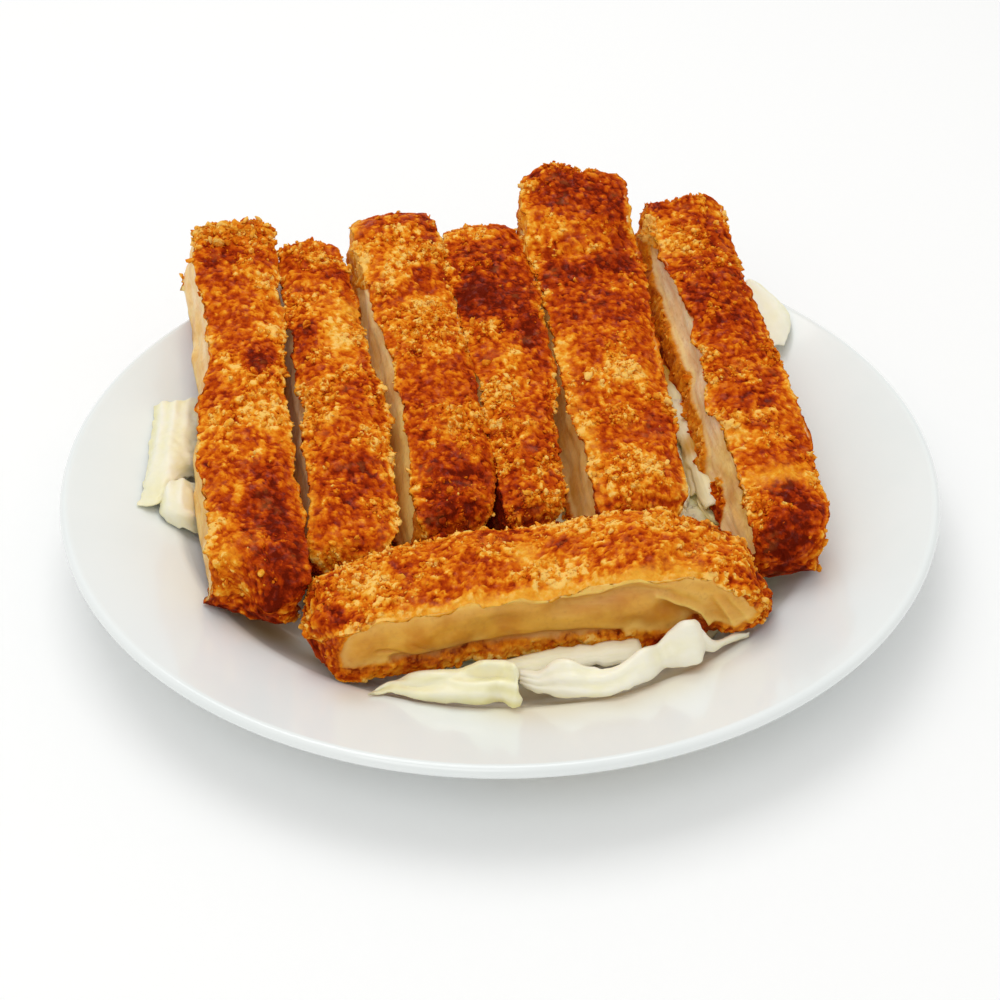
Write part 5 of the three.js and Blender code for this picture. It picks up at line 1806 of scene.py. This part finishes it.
    def strip(
        self, centre: Array, heading: float, size: Pair, lean: float, rng: Random
    ) -> Array:
        """The middle surface of a strip or flake through a centre.

        Args:
            centre: Its middle point.
            heading: Direction of its length in plan, in radians.
            size: Its length and width.
            lean: Tilt about its length, in radians.
            rng: Where its own waves, bend and twist come from.

        Returns:
            A grid of points.
        """
        (length, width), (along_step, across_step) = size, self.piece_steps
        curl = rng.uniform(*self.curl)
        rows, columns = max(8, int(length / along_step)), max(5, int(width / across_step))
        u, v = grid(-0.5, 0.5, rows, columns)
        ragged = noise(np.stack([u * length / 3.5, np.sign(v), 0 * u + rng.uniform(0, 99)], -1), 5)
        beside = v * width * (1 - 0.45 * np.abs(2 * u) ** 4 + 0.22 * ragged)
        bend = rng.uniform(-1, 1) * 0.25
        along = u * length * (1 - 0.12 * (2 * v) ** 2 * rng.uniform(0, 1))
        beside = beside + bend * length * (u**2 - 0.08)
        phase = rng.uniform(0, 6.3, 4)
        cup = rng.uniform(-0.5, 1.0)
        high = curl * np.sin(5.5 * u + phase[0]) + cup * width * 0.28 * (2 * v) ** 2 * 0.5
        high = high + 0.35 * curl * np.sin(13 * u + 4 * v + phase[1])
        high = high + 0.25 * curl * np.sin(9 * v + 6 * u + phase[2])
        twist = lean + rng.uniform(-0.7, 0.7) * u * 2
        out = beside * np.cos(twist) - high * np.sin(twist)
        up = beside * np.sin(twist) + high * np.cos(twist)
        c, s = math.cos(heading), math.sin(heading)
        x, y, z = centre
        return np.stack([x + along * c - out * s, y + along * s + out * c, z + up], -1)

    def piece(self, middle: Array, thickness: float, leafy: float, rng: Random) -> Shell:
        """A closed strip with its colouring.

        Args:
            middle: Its middle surface, as a grid of points.
            thickness: Its greatest thickness.
            leafy: How green it is, from 0 to 1.
            rng: Where its own shade and grain come from.

        Returns:
            The strip.
        """
        rows, columns = middle.shape[:2]
        u, v = grid(-1, 1, rows, columns)
        thin = thickness * (1 - 0.45 * np.maximum(np.abs(u), np.abs(v)) ** 6)
        shell = sheet_shell(middle, thin).faced_out()
        shade = np.clip(leafy + 0.35 * u * rng.uniform(-1, 1), 0, 1).ravel()
        grain = np.stack([u * rows * 0.1, v * columns * 0.45, 0 * u + rng.uniform(0, 40)], -1).reshape(-1, 3)
        shell.values = {
            "leafy": np.tile(shade, 2),
            "oily": self.oily(shell.points),
            "grain": np.tile(grain, (2, 1)),
        }
        return shell

    def gap_strips(self) -> list[Shell]:
        """Strips of leaf that show between two slices and under the front one."""
        rng = np.random.default_rng(self.seed + 1)
        made = []
        long, wide = self.strip_grid
        for line, width, leafy in self.strips:
            rows = spline_at(np.array(line, float), np.linspace(0, 1, long))[:, None]
            v = np.linspace(-0.5, 0.5, wide)[None, :, None]
            wave = 0.5 * noise(rows / 3 + v, 17)[..., None]
            out = v * width * (1 + 0.3 * noise(rows / 2.5 + np.sign(v), 18)[..., None])
            way = unit(np.gradient(rows[..., :2], axis=0))
            beside = np.stack([-way[..., 1], way[..., 0], np.full(way.shape[:2], 0.25)], -1)
            middle = rows + out * beside + (wave - 4 * v**2) * [0, 0, 1]
            made.append(self.piece(middle, self.strip_thickness, leafy, rng))
        return made

    def pieces(self, ceiling: Array) -> list[Shell]:
        """Flakes and shreds all round the slope of the bed.

        Args:
            ceiling: Lowest point of the slices over each square.

        Returns:
            One shell for each.
        """
        rng = np.random.default_rng(self.seed)
        made = []
        for n in range(self.flake.count + self.shred.count):
            cut = self.flake if n < self.flake.count else self.shred
            angle = 2 * math.pi * ((n * GOLDEN_SHARE) % 1.0)
            share = lerp(self.slope_from, 1.0, rng.random() ** 0.8)
            spot = self.place(share, angle)
            if abs(spot[0]) > self.bare_corner[0] and spot[1] < self.bare_corner[1]:
                continue
            inner, outer = self.place(share - 0.08, angle), self.place(share + 0.02, angle)
            fall = self.height(inner, share - 0.08) - self.height(outer, share + 0.02)
            slope = math.atan2(float(fall), float(np.linalg.norm(inner - outer)))
            centre = np.array([*spot, float(self.height(spot, share)) + rng.uniform(*self.scatter)])
            heading = angle + math.pi / 2 + rng.normal() * 0.5
            size = rng.uniform(*cut.length), rng.uniform(*cut.width)
            lean = slope * math.cos(heading - angle - math.pi / 2) + rng.uniform(-0.3, 0.3)
            middle = self.strip(centre, heading, size, lean, rng)
            thickness = rng.uniform(*cut.thickness)
            middle = self.held(middle, ceiling, thickness)
            made.append(self.piece(middle, thickness, rng.uniform(0.0, 0.9), rng))
        return made

    def build(self, slices: list[Shell], finish: Material) -> list[Piece]:
        """Makes the core and the cut pieces.

        Args:
            slices: Shells of the slices that press on the bed.
            finish: The cabbage's finish.

        Returns:
            The core and the pieces.
        """
        core = self.core().to_object("cabbage_core", finish)
        chopped = joined(self.pieces(self.ceiling(slices)) + self.gap_strips())
        pieces = chopped.to_object("chopped_cabbage", finish)
        for piece in (core, pieces):
            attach(piece, BODY)
        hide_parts("cabbage_bed")
        return [core, pieces]


@dataclass(frozen=True)
class Leaf:
    """A loose piece of leaf, stretched over rails that follow its folds from one edge to the other."""

    name: str
    rails: tuple[tuple[Spot, ...], ...]
    leafy: float = 0.3
    ripple: float = 0.25
    thickness: float = 0.7
    step: float = 0.5
    ribs: int = 0  # raised veins
    rib_axis: int = 0  # 0 where they run along the rails, 1 where they cross them
    rib_height: float = 0.4
    ragged: float = 0.6
    bulge: float = 0.0  # how far its middle stands out between the first and last rail

    def veins(self, rows: int, columns: int) -> Array:
        """Height of the raised veins.

        Args:
            rows: Points along the leaf's grid.
            columns: Points across it.

        Returns:
            Heights from -1 to 1.
        """
        u, v = grid(0, 1, rows, columns)
        over, along = (v, u) if self.rib_axis == 0 else (u, v)
        plan, seed = np.stack([along, over, 0 * over], -1), len(self.name)
        bent = over * self.ribs + 0.9 * noise(plan * [1.7, 1.3, 1], seed)
        deep = 0.6 + 0.4 * noise(plan * [2.5, 2, 1], seed + 1)
        return deep * (1 - 2 * np.abs(np.sin(math.pi * bent)) ** 1.3) if self.ribs else 0 * u

    def middle(self) -> Array:
        """Its middle surface, as a grid of points."""
        rails = np.array(self.rails, float)
        lengths = [np.linalg.norm(np.diff(rails, axis=axis), axis=-1).sum(axis).max() for axis in (0, 1)]
        across, along = (np.linspace(0, 1, max(12, int(length / self.step))) for length in lengths)
        lines = np.stack([spline_at(rail, along) for rail in rails])
        points = np.stack([spline_at(lines[:, n], across) for n in range(len(along))])
        normal = sheet_normals(points)
        waves = self.ripple * noise(points / 5, 88) + 0.4 * self.ripple * noise(points / 1.8, 89)
        waves = waves + self.rib_height * self.veins(len(along), len(across))
        waves = waves - self.bulge * np.sin(math.pi * across)[None] * np.sign(normal[..., 1])
        points = points + normal * waves[..., None]
        u, v = np.meshgrid(2 * along - 1, 2 * across - 1, indexing="ij")
        for axis, out in ((0, u), (1, v)):
            way = unit(np.gradient(points, axis=axis))
            tear = self.ragged * noise(points / 2.2 + 7 * axis, 91) * np.abs(out) ** 6 * np.sign(out)
            points = points - way * (tear + self.ragged * np.sign(out) * np.abs(out) ** 6 * 0.3)[..., None]
        points[..., 2] = np.maximum(points[..., 2], plate_height(points) + GAP + self.thickness * 0.6)
        return points

    def build(self, finish: Material) -> Piece:
        """Makes the leaf.

        Args:
            finish: The leaf's finish.

        Returns:
            The leaf.
        """
        middle = self.middle()
        rows, columns = middle.shape[:2]
        u, v = grid(-1, 1, rows, columns)
        thin = self.thickness * (1 - 0.55 * np.maximum(np.abs(u), np.abs(v)) ** 8)
        shell = sheet_shell(middle, thin).faced_out()
        low = smoothstep(1 - (middle[..., 2] - plate_height(middle)) / 5)
        # Greener near the plate, and greener in the hollows between raised veins, which is painted shade in
        # those creases.
        shade = np.clip(self.leafy + 0.35 * low - 0.1 - 0.3 * self.veins(rows, columns), 0, 1).ravel()
        grain = np.stack([u * rows * 0.04, v * columns * 0.1, 0 * u], -1).reshape(-1, 3)
        dry = np.zeros(2 * rows * columns)
        shell.values = {"leafy": np.tile(shade, 2), "oily": dry, "grain": np.tile(grain, (2, 1))}
        piece = shell.to_object(f"{self.name}_sheet", finish)
        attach(piece, BODY)
        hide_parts(self.name)
        return piece


LEAVES = (
    Leaf("leaf_front_left", (
        ((-31.4, -82.3, 14.8), (-27.8, -81, 14.7), (-23.6, -80.8, 14.6), (-18.9, -82.8, 14.7),
         (-13.4, -84.3, 14.8), (-8.7, -84.6, 14.7), (-4, -84.5, 14.7), (0, -84, 14.6), (2.8, -86.2, 14.9),
         (4.9, -85.8, 14.9)),
        ((-31.1, -81.9, 15), (-27.6, -80, 15), (-23.6, -80.4, 15.3), (-18.6, -82.6, 16.3),
         (-13.4, -84.1, 17.6), (-8.4, -84.6, 17.8), (-3.7, -84.5, 17.7), (0.2, -83.8, 16.8),
         (3.5, -85.8, 17.4), (5, -84.6, 16.5)),
        ((-30.8, -81.5, 15.1), (-27.4, -79.4, 15.3), (-23.9, -79.2, 15.7), (-18.9, -80.4, 16.2),
         (-13.9, -80.9, 18.2), (-8.9, -82.4, 19.1), (-3.3, -82.9, 19.7), (0.2, -82.6, 19.5),
         (3.7, -84.8, 20.2), (4.3, -83.6, 19.1)),
        ((-30.5, -81.1, 15.1), (-27.2, -78.8, 15.4), (-24.2, -78, 15.7), (-19.4, -79.4, 17.8),
         (-13.9, -80.1, 19.7), (-9.2, -79.6, 18.9), (-3.8, -79.7, 19), (0.5, -79.8, 19.4),
         (3.7, -82.2, 21.6), (4.2, -81.8, 20.9)),
        ((-30.2, -80.7, 15), (-27.1, -78.2, 15.2), (-24.2, -77.2, 15.6), (-19.4, -78.2, 18.2),
         (-13.9, -78.5, 19.8), (-9.2, -78.2, 19.5), (-4.2, -79.9, 23), (0.5, -79.4, 22.6),
         (3.3, -81.6, 23.9), (4, -81, 22.4)),
        ((-29.9, -80.3, 14.9), (-27, -77.8, 15), (-24, -76.4, 15.4), (-19, -76.6, 17.7),
         (-13.7, -76.9, 19.1), (-9.5, -76.6, 19.2), (-4.2, -77.3, 22.4), (0.5, -76.8, 21.8),
         (2.6, -79.4, 23.4), (3.5, -79.8, 22.7)),
    ), leafy=0.5, ripple=0.4, ribs=2, rib_height=0.3),
    Leaf("leaf_front_right", (
        ((4.8, -76.5, 14), (6.8, -78.6, 14), (9, -79.7, 14), (11.2, -80.6, 14.2), (14.2, -81.6, 14.4),
         (17.9, -82.4, 14.8), (21.7, -82.6, 15), (25.4, -82.6, 15.3), (28.8, -81.7, 15.7), (32.4, -79.4, 16),
         (35.9, -77, 15.9), (38.8, -73.1, 15), (42.1, -72.4, 15.3), (45.4, -72.8, 15.8), (47.6, -72.3, 16.1),
         (48.4, -69.9, 16.5), (49, -67.9, 16.7), (51.2, -66.8, 15.4), (53.8, -64.3, 15.1),
         (57.7, -61.8, 14.9), (60.7, -60.7, 14.9)),
        ((5, -74.4, 17), (6.8, -74.6, 16.8), (9, -75, 16.6), (10.8, -74.6, 17.6), (13.3, -74.2, 19.8),
         (16.6, -75.4, 20.7), (19.9, -76.2, 19.3), (24.2, -76.6, 19.1), (27.7, -75.9, 19.4),
         (30.9, -73.8, 20.3), (34, -72, 21.6), (37.4, -68.5, 19.8), (40.2, -67, 22), (43, -66.4, 24.3),
         (45.3, -65.7, 24.8), (47.2, -64.5, 23.3), (48.5, -65.5, 21.4), (50.7, -65.2, 18), (53.6, -63.1, 16),
         (57.5, -60.6, 15.9), (60.8, -59.9, 14.8)),
    ), leafy=0.1, ripple=0.2, ribs=2, rib_height=0.25, bulge=1.0),
    Leaf("leaf_side_upper", (
        ((-94.3, -11.9, 17.5), (-91.9, -12.4, 17.9), (-89.2, -12, 18.6), (-86.3, -6.4, 18.6),
         (-83.6, 0.6, 16.6), (-80.1, 4.7, 13.2)),
        ((-94.6, -1.5, 17.5), (-91.7, -4.3, 19.6), (-88.7, -4, 20.7), (-86, -0.2, 20.5), (-83.3, 4.2, 18.6),
         (-79.8, 8.3, 14.2)),
        ((-95.2, 11.3, 18), (-91.9, 8.2, 20.3), (-88.8, 7.6, 21.3), (-85.8, 9.4, 21.1), (-83.1, 12.7, 19.3),
         (-80.1, 16.8, 16)),
        ((-95.6, 22.8, 18.7), (-92.3, 20.3, 20.5), (-89.1, 19.4, 21.5), (-86.1, 20.8, 21.2),
         (-83.6, 24.4, 19.3), (-80.9, 27.6, 17)),
        ((-96.2, 30.4, 19.4), (-93.1, 30.7, 20.2), (-89.9, 31.4, 20.7), (-87, 32.7, 20.5),
         (-84.3, 35.1, 19.5), (-81.6, 37.7, 18.1)),
    ), leafy=0.3, ripple=0.5, ribs=2, rib_axis=1, rib_height=0.35, ragged=1.2),
    Leaf("leaf_side_lower", (
        ((-87.2, -15.7, 15.5), (-85, -16.9, 15.2), (-82.6, -18.1, 15.1), (-80, -18.4, 14.3),
         (-77.2, -16.9, 12.5)),
        ((-89, -13.3, 16.6), (-85.9, -15.7, 18.8), (-82.9, -16.8, 19.4), (-80.2, -15.9, 18),
         (-77.3, -12.1, 14)),
        ((-90, -9, 17.2), (-86.7, -10.4, 20.3), (-83.5, -10.6, 20.8), (-80.9, -9.1, 19.3), (-78, -5.2, 15)),
        ((-89.9, -3.6, 17.1), (-87, -4, 19.8), (-84.2, -3.2, 19.8), (-81.6, -1.6, 17.9), (-78.8, 0.9, 14.3)),
    ), leafy=0.3, ripple=0.45, ribs=1, rib_axis=1, rib_height=0.4, ragged=1.0),
    Leaf("leaf_rear_right", (
        ((81.2, 57, 21.2), (83.8, 65.6, 23), (83.5, 72.6, 24.2), (80.2, 79.2, 25.2), (75.2, 85.8, 25.8)),
        ((78.5, 56.6, 22.2), (80.2, 63.9, 24.2), (79.1, 71.3, 25.8), (75.6, 78.3, 26.9), (71.9, 84.2, 27.2)),
        ((75, 55.2, 21.5), (74.4, 62.3, 23.6), (73.1, 69.5, 25.5), (70.7, 76, 26.5), (68.4, 81.4, 26.8)),
        ((72, 54, 20), (69.4, 61, 22.4), (68, 68, 24.4), (66.4, 74, 25.4), (65.4, 79, 25.6)),
    ), leafy=0.15, ripple=0.4, ribs=1, rib_height=0.25),
)


# ---- studio ----


@dataclass(frozen=True)
class SoftLight:
    """A square soft light aimed at the dish."""

    name: str
    place: Spot  # in metres, as its size
    size: float
    power: float
    aim: Spot = (0.0, 0.0, 0.02)

    def build(self) -> None:
        """Hangs the light."""
        data = bpy.data.lights.new(self.name, "AREA")
        data.shape, data.size, data.energy = "SQUARE", self.size, self.power
        light = bpy.data.objects.new(self.name, data)
        light.location = self.place
        light.rotation_euler = (Vector(self.aim) - Vector(self.place)).to_track_quat("-Z", "Y").to_euler()
        bpy.context.scene.collection.objects.link(light)


@dataclass(frozen=True)
class Studio:
    """Pale floor, soft light and the camera."""

    lens: float = 76.743
    sensor: float = 36.0
    clip: Pair = (0.01, 20.0)
    camera_place: Spot = (0.0, -0.45249, 0.35824)  # in metres, as the floor's size
    camera_tilt: float = 52.445  # degrees from straight down
    floor_half: float = 3.0
    sky: float = 0.72  # strength of its light
    sky_colour: tuple[float, ...] = (1.0, 0.995, 0.98, 1.0)
    lights: tuple[SoftLight, ...] = (
        SoftLight("window", (-0.14, 0.32, 1.0), 0.7, 3.3),
        SoftLight("bounce", (-0.2, -0.65, 0.8), 0.5, 1.1),
    )

    def camera(self) -> None:
        """Makes the camera that the scene is seen through."""
        data = bpy.data.cameras.new("view")
        data.lens, data.sensor_width = self.lens, self.sensor
        data.clip_start, data.clip_end = self.clip
        seen = bpy.data.objects.new("view", data)
        seen.location = self.camera_place
        seen.rotation_euler = (math.radians(self.camera_tilt), 0.0, 0.0)
        bpy.context.scene.collection.objects.link(seen)
        bpy.context.scene.camera = seen

    def build(self) -> None:
        """Makes the floor, the lights, the sky and the camera."""
        corners = np.array([[-1, -1, 0], [1, -1, 0], [1, 1, 0], [-1, 1, 0]], float)
        floor = Shell(corners * self.floor_half / MM, np.array([[0, 1, 2, 3]]))
        floor.to_object("floor", FloorFinish().make())
        world = bpy.data.worlds.new("sky")
        bpy.context.scene.world = world
        world.use_nodes = True
        backdrop = world.node_tree.nodes["Background"]
        backdrop.inputs["Color"].default_value = self.sky_colour
        backdrop.inputs["Strength"].default_value = self.sky
        for light in self.lights:
            light.build()
        bpy.context.scene.view_settings.view_transform = "Standard"
        self.camera()


# ---- the dish ----


def main() -> None:
    """Builds the dish piece by piece, then the studio."""
    logging.basicConfig(level=logging.INFO, format="%(name)s: %(message)s")
    breaded = SliceFinish().make()
    cabbage = CabbageFinish(Finish.CABBAGE.value).make()
    leaf_finish = CabbageFinish(Finish.LEAF.value, (255, 249, 222), (244, 234, 168)).make()
    made = [PLATE.build(GlazeFinish().make())]
    shells = [piece.shell() for piece in SLICES]
    made += [piece.build(shell, breaded) for piece, shell in zip(SLICES, shells)]
    made += [crumbs.build(shells, breaded) for crumbs in CRUMBS]
    made += CabbageHeap().build(shells, cabbage)
    made += [leaf.build(leaf_finish) for leaf in LEAVES]
    for piece in made:
        triangles = sum(len(face.vertices) - 2 for face in piece.data.polygons)
        LOG.info("%s: %d triangles", piece.name, triangles)
    Studio().build()


if __name__ == "__main__":
    main()
